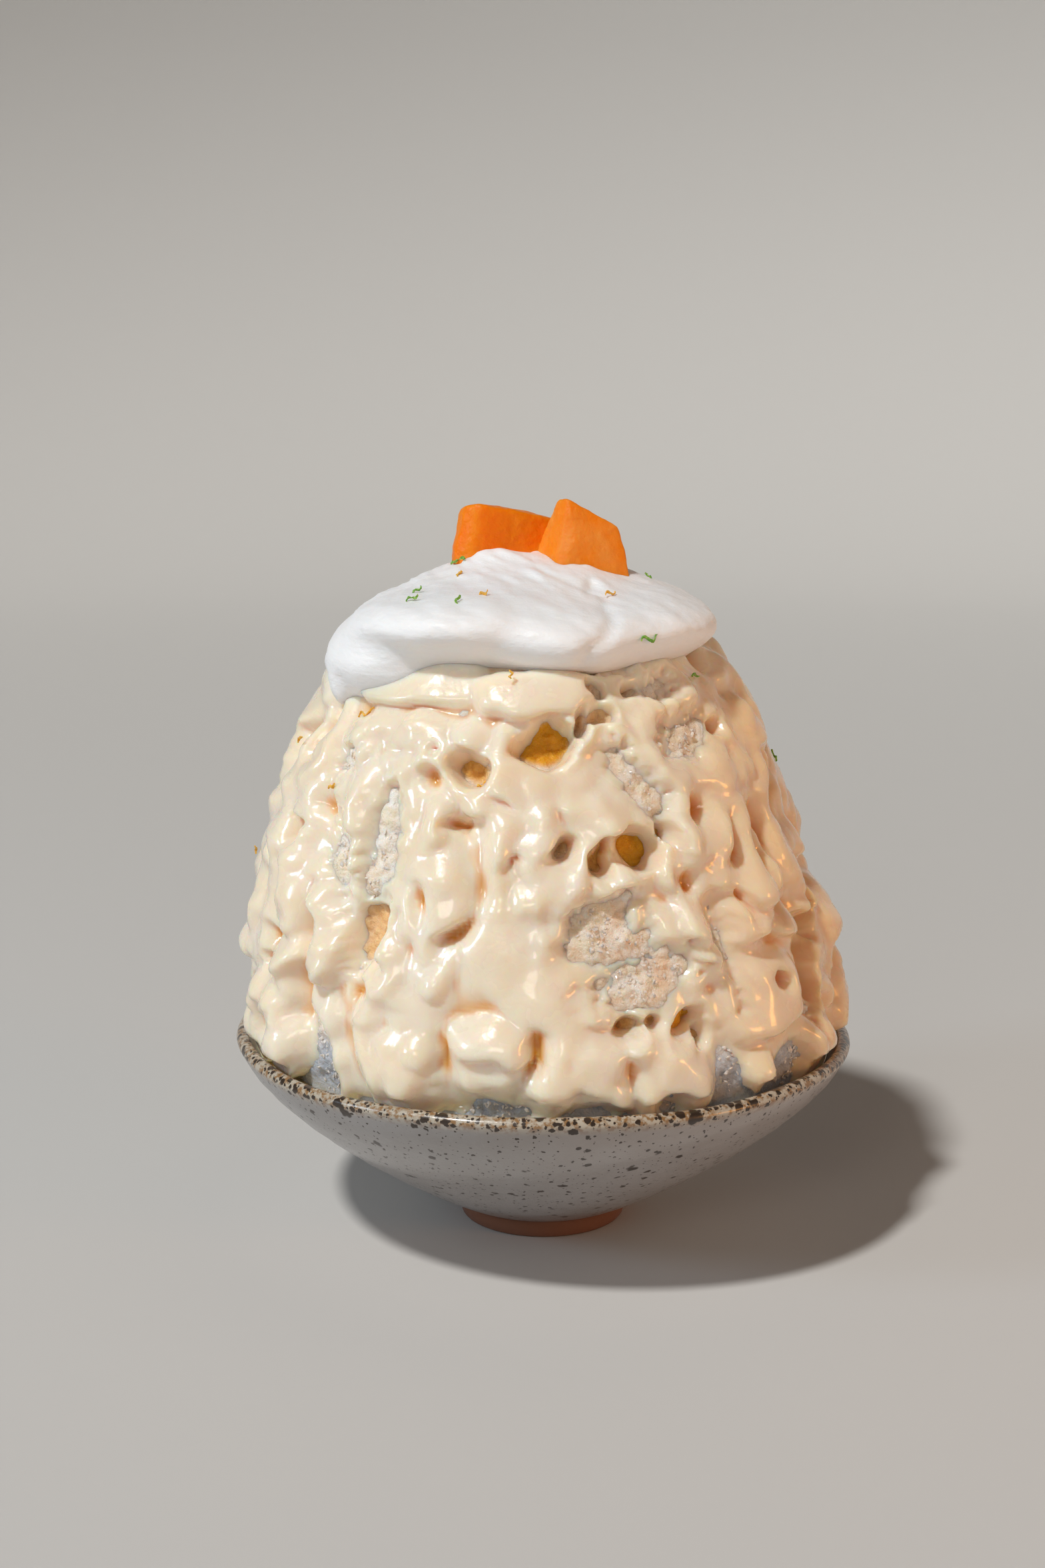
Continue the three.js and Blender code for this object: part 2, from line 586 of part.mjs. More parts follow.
// ---- zest: small curled shavings of green and yellow peel ----------------------------------
// bearing, height or elevation on what carries it, length and turn in degrees.
const capZest = [
  [-66, 53, 2.6, 20], [-79, 50, 2, 60], [-46, 25, 2.6, 60], [-38, 20, 3.2, 40], [-22, 20.5, 2.3, 100],
  [33.5, 8, 4.7, 5], [-16, 25, 2.2, 30], [36, 26, 3, 10], [-45, 41, 2, 100], [95, 30, 3, 40],
  [140, 42, 2.6, 70], [190, 28, 3.4, 20], [232, 36, 2.8, 120],
];
const milkZest = [
  [-50, 129.2, 4.8, 25], [-6, 136.9, 2, 90], [-71, 120, 2.4, 50], [-52, 113.1, 2.4, 30],
  [-12, 117.2, 2.4, 30], [55, 136.5, 2.4, 0], [98, 112, 3.4, 40], [150, 96, 3, 80],
  [205, 118, 3.2, 10], [262, 88, 3, 60],
];
const ZEST_WIDE = 0.9;
const ZEST_THICK = 0.8;

function zestGeometry(point, out, length, angle) {
  const side = new THREE.Vector3(0, 0, 1).cross(out).normalize().applyAxisAngle(out, radians(angle));
  const curl = out.clone().cross(side);
  const path = new THREE.QuadraticBezierCurve3(
    point.clone().addScaledVector(side, -length / 2),
    point.clone().addScaledVector(curl, length / 3),
    point.clone().addScaledVector(side, length / 2),
  );
  const [w, t] = [ZEST_WIDE / 2, ZEST_THICK / 2];
  const section = new THREE.Shape([[-w, -t], [w, -t], [w, t], [-w, t]].map(([x, y]) => new THREE.Vector2(x, y)));
  return new THREE.ExtrudeGeometry(section, { steps: 2, extrudePath: path });
}

const capShavings = capZest.map(([bearing, elevation, length, angle]) => {
  const [a, e] = [radians(bearing), radians(elevation)];
  const way = new THREE.Vector3(Math.sin(a) * Math.cos(e), -Math.cos(a) * Math.cos(e), Math.sin(e));
  return zestGeometry(dollopPoint(way), way.clone().setZ(way.z + 0.5).normalize(), length, angle);
});
const milkShavings = milkZest.map(([bearing, z, length, angle]) => {
  const out = heapNormal(bearing, z);
  return zestGeometry(heapPoint(bearing, z).addScaledVector(out, creamHeight(bearing, z)), out, length, angle);
});
const withZest = (solid, shavings) => shavings.reduce((all, shaving) => all.add(toSolid(shaving)), solid);

// ---- putting it together ---------------------------------------------------------------------
// Each piece is cut clear, by the gap, of the pieces that it rests on.
const milkCream = withZest(toSolid(creamGeometry()), milkShavings)
  .subtract(toSolid(iceGeometry(GAP)))
  .subtract(toSolid(bowlGeometry(GAP)));
const whippedCream = withZest(toSolid(dollopGeometry()), capShavings)
  .subtract(toSolid(creamGeometry(GAP)))
  .subtract(toSolid(iceGeometry(GAP)))
  .subtract(toSolid(chunkGeometry(leftChunk, LEFT_WEAR, GAP)))
  .subtract(toSolid(chunkGeometry(rightChunk, RIGHT_WEAR, GAP)));
const leftFruit = toSolid(chunkGeometry(leftChunk, LEFT_WEAR)).subtract(toSolid(chunkGeometry(rightChunk, RIGHT_WEAR, GAP)));

const dessert = new THREE.Group();
function addPiece(name, solid, color, roughness) {
  const material = new THREE.MeshStandardMaterial({ color, roughness, metalness: 0 });
  const mesh = new THREE.Mesh(toGeometry(solid), material);
  mesh.name = name;
  dessert.add(mesh);
}
addPiece("bowl", toSolid(bowlGeometry()), 0xb9b6b4, 0.45);
addPiece("shaved_ice", toSolid(iceGeometry()), 0xd9d2cc, 0.35);
addPiece("milk_cream", milkCream, 0xf3dcbc, 0.2);
addPiece("whipped_cream", whippedCream, 0xf4f1ef, 0.5);
addPiece("fruit_chunk_left", leftFruit, 0xe8701a, 0.3);
addPiece("fruit_chunk_right", toSolid(chunkGeometry(rightChunk, RIGHT_WEAR)), 0xe9822c, 0.3);

export default dessert;
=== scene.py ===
"""A shaved ice dessert in its bowl: speckled stoneware, heaped shaved ice, poured milk cream,
whipped cream, two chunks of orange fruit and a scatter of citrus zest. Sizes are in millimetres
and turned to metres as each mesh is made. A bearing is measured round the bowl in degrees: 0 at
the front, +90 at the right."""

import math

import bpy
import numpy as np
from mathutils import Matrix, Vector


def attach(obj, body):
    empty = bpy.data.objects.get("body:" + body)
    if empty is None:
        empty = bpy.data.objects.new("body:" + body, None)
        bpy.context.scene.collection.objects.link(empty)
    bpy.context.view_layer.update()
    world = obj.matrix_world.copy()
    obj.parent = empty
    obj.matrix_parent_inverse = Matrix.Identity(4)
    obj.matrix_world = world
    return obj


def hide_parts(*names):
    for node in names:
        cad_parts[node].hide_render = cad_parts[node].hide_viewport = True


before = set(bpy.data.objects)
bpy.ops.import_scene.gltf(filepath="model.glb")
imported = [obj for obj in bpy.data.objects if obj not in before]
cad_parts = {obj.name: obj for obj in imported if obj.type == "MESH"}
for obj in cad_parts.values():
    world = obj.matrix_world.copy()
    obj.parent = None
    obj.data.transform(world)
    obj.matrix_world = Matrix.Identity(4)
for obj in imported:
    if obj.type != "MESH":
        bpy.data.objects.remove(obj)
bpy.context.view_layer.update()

# ---- Bowl ------------------------------------
# Wheel-thrown stoneware with a turned foot, dipped in a pale glaze that breaks to brown along
# the rim. Iron in the clay bleeds through as dark specks. The foot ring is left bare.
MM = 0.001
RIM_RADIUS = 75.0
BOWL_HEIGHT = 48.0
WALL = 3.1
FOOT_RADIUS = 20.3
FOOT_HEIGHT = 4.8
FOOT_RING = 4.5
RIM_TILT = 0.8
BOWL_SIDES = 192
WALL_STEPS = 26
LIP_STEPS = 10
THROWING_RIPPLE = 0.12


def mix(a, b, t):
    return a + (b - a) * t


def ease(low, high, x):
    t = np.clip((x - low) / (high - low), 0, 1)
    return t * t * (3 - 2 * t)


def wall_point(t, out=0.0):
    """A point of the wall's outer line, foot to rim, moved out of it; below 0 moves in."""
    ends = [(FOOT_RADIUS + 1.5, FOOT_HEIGHT), (FOOT_RADIUS + 10, FOOT_HEIGHT + 3.4)]
    ends += [(RIM_RADIUS - 5.6, BOWL_HEIGHT - 16.2), (RIM_RADIUS, BOWL_HEIGHT - WALL / 2)]
    a, b, c, d = (np.array(p) for p in ends)
    point = (1 - t) ** 3 * a + 3 * t * (1 - t) ** 2 * b + 3 * t * t * (1 - t) * c + t**3 * d
    along = 3 * ((1 - t) ** 2 * (b - a) + 2 * t * (1 - t) * (c - b) + t * t * (d - c))
    along /= np.linalg.norm(along)
    return point + out * np.array([along[1], -along[0]])


def bowl_section():
    """The bowl's outline from under the foot round to the middle inside, as (radius, height)."""
    recess = FOOT_HEIGHT * 0.4
    inner = FOOT_RADIUS - FOOT_RING
    line = [(0, recess), (inner - 3, recess), (inner, recess - 0.1), (inner + 0.5, 0.3)]
    line += [(inner + 1.0, 0), (FOOT_RADIUS - 1.1, 0), (FOOT_RADIUS - 0.4, 0.2)]
    line += [(FOOT_RADIUS, 0.7), (FOOT_RADIUS + 0.35, 2.6), (FOOT_RADIUS + 0.5, FOOT_HEIGHT - 0.9)]
    line += [(FOOT_RADIUS + 0.8, FOOT_HEIGHT - 0.35)]
    line += [tuple(wall_point(i / WALL_STEPS)) for i in range(WALL_STEPS + 1)]
    lip = wall_point(1, -WALL / 2)
    outward = wall_point(1) - lip
    start = math.atan2(outward[1], outward[0])
    for i in range(1, LIP_STEPS):
        a = start + math.pi * i / LIP_STEPS
        line.append((lip[0] + WALL / 2 * math.cos(a), lip[1] + WALL / 2 * math.sin(a)))
    line += [tuple(wall_point(i / WALL_STEPS, -WALL)) for i in range(WALL_STEPS, -1, -1)]
    return line + [(0, wall_point(0, -WALL)[1])]


def only(obj):
    """Makes one object the selected and active one."""
    bpy.ops.object.select_all(action="DESELECT")
    obj.select_set(True)
    bpy.context.view_layer.objects.active = obj


def mesh_object(name, points, edges=(), faces=()):
    """An object of points in millimetres, joined by edges or faces, as the active one."""
    mesh = bpy.data.meshes.new(name)
    mesh.from_pydata([tuple(c * MM for c in p) for p in points], list(edges), list(faces))
    obj = bpy.data.objects.new(name, mesh)
    bpy.context.collection.objects.link(obj)
    only(obj)
    return obj


def face_out(obj):
    """Turns every face of the object outwards."""
    only(obj)
    bpy.ops.object.mode_set(mode="EDIT")
    bpy.ops.mesh.select_all(action="SELECT")
    bpy.ops.mesh.normals_make_consistent(inside=False)
    bpy.ops.object.mode_set(mode="OBJECT")


def spun_body(name, section, sides):
    """A closed body spun about +Z from (radius, height) points, bottom to top."""
    line = [(i, i + 1) for i in range(len(section) - 1)]
    body = mesh_object(name, [(r, 0, z) for r, z in section], edges=line)
    bpy.ops.object.mode_set(mode="EDIT")
    bpy.ops.mesh.select_all(action="SELECT")
    bpy.ops.mesh.spin(steps=sides, angle=math.tau, use_auto_merge=True, center=(0, 0, 0), axis=(0, 0, 1))
    bpy.ops.mesh.select_all(action="SELECT")
    bpy.ops.mesh.remove_doubles(threshold=1e-6)
    bpy.ops.object.mode_set(mode="OBJECT")
    face_out(body)
    return body


def mesh_points(obj):
    """The object's vertices in millimetres, as an array."""
    flat = np.empty(3 * len(obj.data.vertices))
    obj.data.vertices.foreach_get("co", flat)
    return flat.reshape(-1, 3) / MM


def move_points(obj, points):
    obj.data.vertices.foreach_set("co", (points * MM).ravel())
    obj.data.update()


bowl = spun_body("bowl_finish", bowl_section(), BOWL_SIDES)
points = mesh_points(bowl)
radius = np.hypot(points[:, 0], points[:, 1])
around = np.arctan2(points[:, 0], -points[:, 1])
unmoved_height = points[:, 2].copy()
height_share = np.clip(unmoved_height / BOWL_HEIGHT, 0, 1)
points[:, 2] += height_share**2 * RIM_TILT * (-points[:, 0] / RIM_RADIUS)
wobble = 0.35 * np.sin(2 * around + 0.6) + 0.2 * np.sin(5 * around + 2) + 0.12 * np.sin(9 * around)
ripple = THROWING_RIPPLE * np.sin(points[:, 2] * 1.25 + 0.5 * around)
grow = 1 + (ripple * ease(6, 12, points[:, 2]) - 0.12) / np.maximum(radius, 10)
points[:, 2] += height_share**3 * wobble
points[:, :2] *= grow[:, None]
move_points(bowl, points)
bpy.ops.object.shade_smooth()
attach(bowl, "root")
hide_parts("bowl")


def note(obj, name, values):
    """Stores a value for each point of an object's mesh."""
    obj.data.attributes.new(name, "FLOAT", "POINT").data.foreach_set("value", values)


note(bowl, "lip", ease(BOWL_HEIGHT - 2.6, BOWL_HEIGHT - 0.8, unmoved_height) * (radius > 60))
note(bowl, "bare", ease(FOOT_HEIGHT + 0.5, FOOT_HEIGHT - 0.1, unmoved_height))


class Finish:
    """A material's node tree, built a node at a time."""

    def __init__(self, name):
        self.material = bpy.data.materials.new(name)
        self.material.use_nodes = True
        self.tree = self.material.node_tree
        self.surface = self.tree.nodes["Principled BSDF"]
        self.place = self.tree.nodes.new("ShaderNodeTexCoord").outputs["Object"]

    def set(self, **values):
        for name, value in values.items():
            self.surface.inputs[name.replace("_", " ")].default_value = value

    def node(self, kind, inputs=(), **settings):
        node = self.tree.nodes.new(kind)
        for name, value in settings.items():
            setattr(node, name, value)
        for key, value in dict(inputs).items():
            if isinstance(value, bpy.types.NodeSocket):
                self.tree.links.new(value, node.inputs[key])
            else:
                node.inputs[key].default_value = value
        return node

    def noise(self, size, detail=2.0, rough=0.5, stretch=(1, 1, 1)):
        """Noise from 0 to 1 with features about size metres wide."""
        mapping = self.node("ShaderNodeMapping", {"Vector": self.place, "Scale": stretch})
        inputs = {"Vector": mapping.outputs[0], "Scale": 1 / size, "Detail": detail, "Roughness": rough}
        return self.node("ShaderNodeTexNoise", inputs).outputs["Fac"]

    def specks(self, size, spot, crowd):
        """Ragged spots in cells of a size; spot is their radius in cells, larger where crowded."""
        warp = self.node("ShaderNodeTexNoise", {"Vector": self.place, "Scale": 2.2 / size})
        push = self.node(
            "ShaderNodeVectorMath",
            {0: warp.outputs["Color"], 1: (0.5 * size,) * 3, 2: self.place},
            operation="MULTIPLY_ADD",
        )
        cell = self.node("ShaderNodeTexVoronoi", {"Vector": push.outputs[0], "Scale": 1 / size})
        tone = self.node("ShaderNodeSeparateColor", {"Color": cell.outputs["Color"]}).outputs[0]
        reach = self.math("MULTIPLY_ADD", tone, 1.5 * spot, self.math("MULTIPLY", crowd, 0.9 * spot))
        gap = self.math("SUBTRACT", reach, cell.outputs["Distance"])
        return self.ramp(gap, (0.0, 0.0), (0.06, 1.0))

    def math(self, how, *values):
        return self.node("ShaderNodeMath", dict(enumerate(values)), operation=how).outputs[0]

    def ramp(self, value, *stops):
        """A colour ramp over value; each stop is (position, colour or grey level)."""
        node = self.node("ShaderNodeValToRGB", {"Fac": value})
        marks = node.color_ramp.elements
        while len(marks) < len(stops):
            marks.new(0.5)
        for mark, (position, color) in zip(marks, stops):
            mark.position = position
            mark.color = (*color, 1) if isinstance(color, tuple) else (color, color, color, 1)
        return node.outputs["Color"]

    def blend(self, share, a, b):
        """Colour a where share is 0, turning to b where it is 1."""
        node = self.node("ShaderNodeMix", data_type="RGBA")
        for socket, value in ((node.inputs[0], share), (node.inputs[6], a), (node.inputs[7], b)):
            if isinstance(value, bpy.types.NodeSocket):
                self.tree.links.new(value, socket)
            else:
                socket.default_value = (*value, 1) if isinstance(value, tuple) else value
        return node.outputs[2]

    def link(self, value, name):
        self.tree.links.new(value, self.surface.inputs[name])

    def bump(self, value, depth, under=None):
        """A bumped normal, depth in metres, on top of another one where under is given."""
        inputs = {"Height": value, "Distance": depth}
        if under is not None:
            inputs["Normal"] = under
        return self.node("ShaderNodeBump", inputs).outputs["Normal"]

    def attribute(self, name):
        return self.node("ShaderNodeAttribute", attribute_name=name).outputs["Fac"]


GLAZE = (0.37, 0.36, 0.36)
GLAZE_THIN = (0.30, 0.275, 0.26)
RIM_PALE = (0.46, 0.41, 0.33)
RIM_BROWN = (0.27, 0.15, 0.06)
IRON = (0.035, 0.022, 0.014)
CLAY = (0.21, 0.085, 0.045)
finish = Finish("speckled_stoneware")
lip = finish.attribute("lip")
mottle = finish.ramp(finish.noise(0.0014, 3, 0.6), (0.45, 0.0), (0.6, 1.0))
glaze = finish.blend(finish.noise(0.012, 3), GLAZE, GLAZE_THIN)
glaze = finish.blend(lip, glaze, finish.blend(mottle, RIM_PALE, RIM_BROWN))
for size, spot in ((0.0011, 0.17), (0.0019, 0.2), (0.0034, 0.19), (0.007, 0.13)):
    specks = finish.specks(size, spot, lip)
    glaze = finish.blend(specks, glaze, IRON)
bare = finish.attribute("bare")
finish.link(finish.blend(bare, glaze, CLAY), "Base Color")
finish.link(finish.ramp(bare, (0.0, 0.3), (1.0, 0.85)), "Roughness")
pits = finish.bump(finish.noise(0.0012, 3), 0.00008)
finish.link(finish.bump(finish.noise(0.007), 0.0002, under=pits), "Normal")
finish.set(Coat_Weight=0.25, Coat_Roughness=0.12)
bowl.data.materials.append(finish.material)


# ---- Shaved ice ------------------------------
# Clear ice shaved to snow, packed into the bowl and heaped above it into a tall dome. Where the
# cream has parted, the snow shows as a rough face of wet grains and small flakes.
HEAP_RADIUS = 68.8
HEAP_BASE = 50.0
HEAP_TOP = 150.0
HEAP_FULLNESS = 1.15
HEAP_SHOULDER = 4.0
HEAP_TUCK = 0.965
LEAN_LOW = 1.5
LEAN_HIGH = -2.5
CRAG = 0.9
PROUD = 0.4
HEAP_FOOT = 44.0
ICE_SIDES = 144
ICE_ROWS = 64


def chance(n):
    """A repeatable number from 0 to 1 for each n."""
    x = np.sin(np.asarray(n, dtype=float) * 12.9898 + 78.233) * 43758.5453
    return x - np.floor(x)


def noise(points, size, tall=None):
    """Smooth noise from -1 to 1 at points, in lumps of a size, or of a size and a height."""
    x, y, z = (points / np.array([size, size, tall or size])).T
    i, j, k = np.floor(x), np.floor(y), np.floor(z)
    u, v, w = ease(0, 1, x - i), ease(0, 1, y - j), ease(0, 1, z - k)

    def edge(b, c):
        cell = i + 57 * (j + b) + 113 * (k + c)
        return mix(chance(cell), chance(cell + 1), u)

    return 2 * mix(mix(edge(0, 0), edge(1, 0), v), mix(edge(0, 1), edge(1, 1), v), w) - 1


def heap_radius(z):
    """The heap's radius at a height: a full dome, tucked in a little at the bowl's rim."""
    u = np.clip((z - HEAP_BASE) / (HEAP_TOP - HEAP_BASE), 0, 1)
    dome = (1 - u**HEAP_FULLNESS) ** (1 / HEAP_SHOULDER)
    return HEAP_RADIUS * dome * mix(HEAP_TUCK, 1, ease(42, 57, z))


def heap_shift(z):
    """How far the heap leans to the right at a height."""
    return mix(LEAN_LOW, LEAN_HIGH, ease(HEAP_BASE - 4, 105, z))


def heap_point(bearing, z, radius=None):
    """Points on the heap's curve, or at another radius from its middle."""
    radius = heap_radius(z) if radius is None else radius
    a = np.radians(bearing)
    x, y = heap_shift(z) + radius * np.sin(a), -radius * np.cos(a)
    return np.stack(np.broadcast_arrays(x, y, z), axis=-1)


def heap_normal(bearing, z):
    """The way that faces out of the heap's curve."""
    low, high = np.maximum(z - 0.5, HEAP_BASE - 10), np.minimum(z + 0.5, HEAP_TOP)
    slope = (heap_radius(high) - heap_radius(low)) / (high - low)
    a = np.radians(bearing)
    out = np.stack(np.broadcast_arrays(np.sin(a), -np.cos(a), -slope), axis=-1)
    return out / np.linalg.norm(out, axis=-1, keepdims=True)


def heap_line(low, high, count):
    """Radius and height at points evenly spaced up the heap's curve."""
    z = mix(low, high, 1 - (1 - np.linspace(0, 1, 600)) ** 2)
    run = np.concatenate([[0], np.cumsum(np.hypot(np.diff(z), np.diff(heap_radius(z))))])
    z = np.interp(np.linspace(0, run[-1], count), run, z)
    return list(zip(heap_radius(z), z))


# Windows, where the cream has parted: bearing, height, half width, half length, slant, and how
# deep the ice lies there; below 1 it is nearly flush and its edge is ragged.
windows = [
    (2, 126.3, 7.4, 5.0, 0, 4),
    (21, 101.6, 5.6, 5.2, 20, 4.4),
    (28, 106.7, 2.4, 2.8, 20, 3.4),
    (14, 99.9, 1.9, 3.6, -10, 3.4),
    (8, 103.8, 1.5, 2, 0, 3),
    (29, 136.5, 2.6, 2.2, 0, 1.8),
    (37, 136.3, 3.8, 2, 0, 0.3),
    (18, 136.3, 2.5, 2.1, 0, 1.6),
    (16, 141, 2.8, 1.8, 0, 1.4),
    (27, 141.4, 2.8, 1.7, 0, 0.4),
    (19, 130.2, 3.2, 2.8, 0, 2.2),
    (12, 129.3, 1.2, 2.8, 0, 3),
    (41, 126.2, 5.4, 3.8, 30, 0.6),
    (24.5, 115.3, 2.8, 8, 22, -0.8),
    (53, 126.4, 1.5, 1.4, 0, 2.8),
    (-14, 120.5, 3.9, 3.6, 0, 3.4),
    (-15, 108.9, 3, 1.7, 0, 3.6),
    (-51, 120.5, 2.1, 3.4, 0, -0.3),
    (-33.5, 106, 1.7, 6.6, -3, -0.8),
    (-35, 96, 2.9, 5, -8, -0.8),
    (-46, 99, 2.1, 7, 14, -0.8),
    (-62, 103, 2.9, 3.2, 30, 2.8),
    (-36.5, 84.5, 5, 9, -14, 2.4),
    (-38, 75.8, 1.9, 1.6, 0, 0.1),
    (13, 87, 6.6, 4.8, 22, -1.4),
    (19, 83.5, 3.4, 2.2, 30, -1.2),
    (20.5, 75.5, 9.4, 5.2, 8, -0.6),
    (16, 66.2, 3, 2.5, 0, 3),
    (22, 66, 1.5, 1.5, 0, 3),
    (28, 64.5, 4.2, 2.9, 18, 4),
    (31.5, 61.2, 2.3, 2.8, 0, 3.4),
    (50, 72, 2, 1.5, 0, 3.4),
    (38.5, 80.7, 1.3, 7, 4, -0.3),
    (-47, 53, 5, 9, 4, -0.3),
    (-11, 48, 10, 2.8, 0, 0.4),
    (8, 47, 3.4, 2, 0, 0.4),
    (22, 47.4, 2.6, 2.4, 0, 0.4),
    (35, 55, 3.4, 8, 8, 0.4),
    (53, 50, 6.4, 5.6, 0, 0.4),
]
BACK_WINDOWS = 18
BACK_HEM_GAPS = 6
RAGGED_ABOVE = 58
for i in range(BACK_WINDOWS):
    width = mix(2.6, 5.2, chance(i))
    length = width * mix(0.9, 2, chance(i + 40))
    depth = 2.4 if chance(i + 90) > 0.5 else -0.8
    place = (62 + (i * 137.5) % 228, mix(66, 130, (i * 0.618) % 1))
    windows.append((*place, width, length, 40 * chance(i + 60) - 20, depth))
for i in range(BACK_HEM_GAPS):
    windows.append((95 + i * 34, 49, mix(6, 10, chance(i + 200)), mix(4, 8, chance(i + 210)), 0, 0.2))


def turn_from(at, bearing):
    """Degrees from one bearing to another, from -180 to 180."""
    return (bearing - at + 540) % 360 - 180


def beside(at, height, bearing, z):
    """How far points of the heap lie across and down from a place on it."""
    across = np.radians(turn_from(at, bearing)) * heap_radius((z + height) / 2)
    slope = (heap_radius(height + 1) - heap_radius(height - 1)) / 2
    return across, (height - z) * math.hypot(1, slope)


def from_edge(opening, bearing, z, power=2):
    """Distance from points of the heap to an opening's edge, below 0 inside it."""
    at, height, width, length, slant = opening[:5]
    across, down = beside(at, height, bearing, z)
    a = math.radians(slant)
    u = np.abs(across * math.cos(a) - down * math.sin(a)) / width
    v = np.abs(across * math.sin(a) + down * math.cos(a)) / length
    return ((u**power + v**power) ** (1 / power) - 1) * min(width, length)


def drifted(bearing, z):
    """Bearing and height pushed about, so that straight runs and openings wander."""
    p = heap_point(bearing, z)
    aside = 2.6 * noise(p, 21) + 1.1 * noise(p + 50, 9) + 0.8 * noise(p + 30, 4)
    along = 2.6 * noise(p + 90, 21) + 1.1 * noise(p + 70, 9) + 0.8 * noise(p + 110, 4)
    return bearing + np.degrees(aside / np.maximum(heap_radius(z), 12)), z + along


# Dents, which the cream lines, steep above and shallow below: bearing, height, half width,
# half length, slant and depth.
front_dents = [
    (-22.5, 122, 1.1, 1.1, 0, 3.5),
    (-22, 116, 2.4, 3.4, 10, 3.6),
    (-68, 124, 1.6, 4.2, 0, 4.5),
    (-65, 79, 2.4, 3.2, 0, 4),
    (-23, 94, 1.8, 5.4, 2, 4),
    (-29, 89, 1.6, 4.4, 0, 3),
    (-16, 86, 4.6, 2.4, 24, 3.2),
    (-33, 77, 1.9, 1.5, 0, 4),
    (-36, 71, 2.6, 2.6, 0, 3),
    (-3.5, 62, 2, 6, -18, 4.4),
    (-53, 110, 2, 4, 60, 3),
    (-52, 84, 1.7, 9, 0, 4.5),
    (-51, 66, 1.7, 7, 0, 4),
    (34, 70, 2.4, 5, 20, 3),
    (38, 112, 2, 6, 0, 3.5),
    (47, 104, 1.8, 7, -10, 4),
    (55, 96, 1.8, 6, 0, 4),
    (62, 84, 2.2, 6, 0, 4),
    (25, 92, 1.8, 3.4, 0, 3),
    (33, 96, 1.8, 4, -20, 3),
    (-6, 114, 3.4, 1.3, -24, 1.8),
    (7, 111, 1.3, 3.6, 24, 2),
    (-2, 101, 3.6, 1.2, 30, 1.8),
    (30, 83, 1.1, 2.2, -20, 3.5),
    (45, 92, 1.6, 4.4, 10, 3.4),
    (58, 69, 1.8, 4.4, 0, 4),
]
SPREAD_DENTS = 70
GOLDEN_ANGLE = 137.508


def spread_dent(i):
    """One of the dents spread over the sides and the back by the golden angle."""
    height = 56 + 84 * ((i + 0.5) / SPREAD_DENTS) ** 1.1
    bearing = 58 + (i * GOLDEN_ANGLE + 40) % 238
    width = mix(1.6, 3.2, chance(i + 1100))
    length = width * mix(0.9, 3, chance(i + 1200))
    return (bearing, height, width, length, 60 * chance(i + 1300) - 30, 4.2)


dents = front_dents + [spread_dent(i) for i in range(SPREAD_DENTS)]


def dent_depth(bearing, z):
    """How deep the dents are at points of the heap."""
    total = np.zeros(len(z))
    for at, height, width, length, slant, depth in dents:
        near = np.abs(z - height) < 2 * length + 4
        across, down, a = *beside(at, height, bearing[near], z[near]), math.radians(slant)
        u = (across * math.cos(a) - down * math.sin(a)) / width
        v = (across * math.sin(a) + down * math.cos(a)) / length
        steep = np.where(v < 0, 1.5 * v, 0.8 * v)
        total[near] = np.maximum(total[near], 1.5 * depth * np.exp(-(u**2) - steep**2))
    return total


def nearest_edges(bearing, z):
    """Distance to the nearest flush window, its edge made ragged, and to the nearest deep one."""
    p = heap_point(bearing, z)
    bearing, z = drifted(bearing, z)
    ragged = noise(p, 2.8) + 0.6 * noise(p + 40, 1.2)
    bent = 1.1 * noise(p + 80, 4.2)
    flush, deep = np.full(len(z), 99.0), np.full(len(z), 99.0)
    for window in windows:
        edge = from_edge(window, bearing, z)
        height, width, depth = window[1], window[2], window[5]
        if depth < 1:
            amount = min(1.5, 0.6 * width) if height > RAGGED_ABOVE else 0.3
            flush = np.minimum(flush, edge + ragged * amount)
        else:
            deep = np.minimum(deep, edge + bent + 0.25 * ragged)
    return flush, deep


def ice_relief(bearing, z):
    """How far the ice stands out from the heap's curve, below 0 where it is sunk."""
    p = heap_point(bearing, z)
    relief = CRAG * noise(p, 9, 6)
    drift_bearing, drift_z = drifted(bearing, z)
    for window in windows:
        depth = window[5] if window[5] > 0 else PROUD * window[5]
        relief -= depth * ease(2, -1.5, from_edge(window, drift_bearing, drift_z))
    relief -= dent_depth(drift_bearing, drift_z)
    grains = 0.5 * noise(p, 2.3) + 0.45 * noise(p + 30, 1.1) + 0.25 * noise(p + 60, 0.6)
    relief += grains * ease(3, 0, np.min(nearest_edges(bearing, z), axis=0))
    return relief * ease(HEAP_TOP - 1, HEAP_TOP - 12, z) * ease(HEAP_FOOT, HEAP_BASE, z)


def face_middles(obj):
    flat = np.empty(3 * len(obj.data.polygons))
    obj.data.polygons.foreach_get("center", flat)
    return flat.reshape(-1, 3) / MM


def split_faces(obj, chosen):
    """Subdivides the chosen faces of an object once."""
    only(obj)
    mesh = obj.data
    mesh.vertices.foreach_set("select", np.zeros(len(mesh.vertices), bool))
    mesh.edges.foreach_set("select", np.zeros(len(mesh.edges), bool))
    mesh.polygons.foreach_set("select", chosen)
    bpy.context.tool_settings.mesh_select_mode = (False, False, True)
    bpy.ops.object.mode_set(mode="EDIT")
    bpy.ops.mesh.subdivide(number_cuts=1)
    bpy.ops.object.mode_set(mode="OBJECT")


def heap_place(points):
    """Bearing and height of points that lie on the heap."""
    return np.degrees(np.arctan2(points[:, 0] - heap_shift(points[:, 2]), -points[:, 1])), points[:, 2]


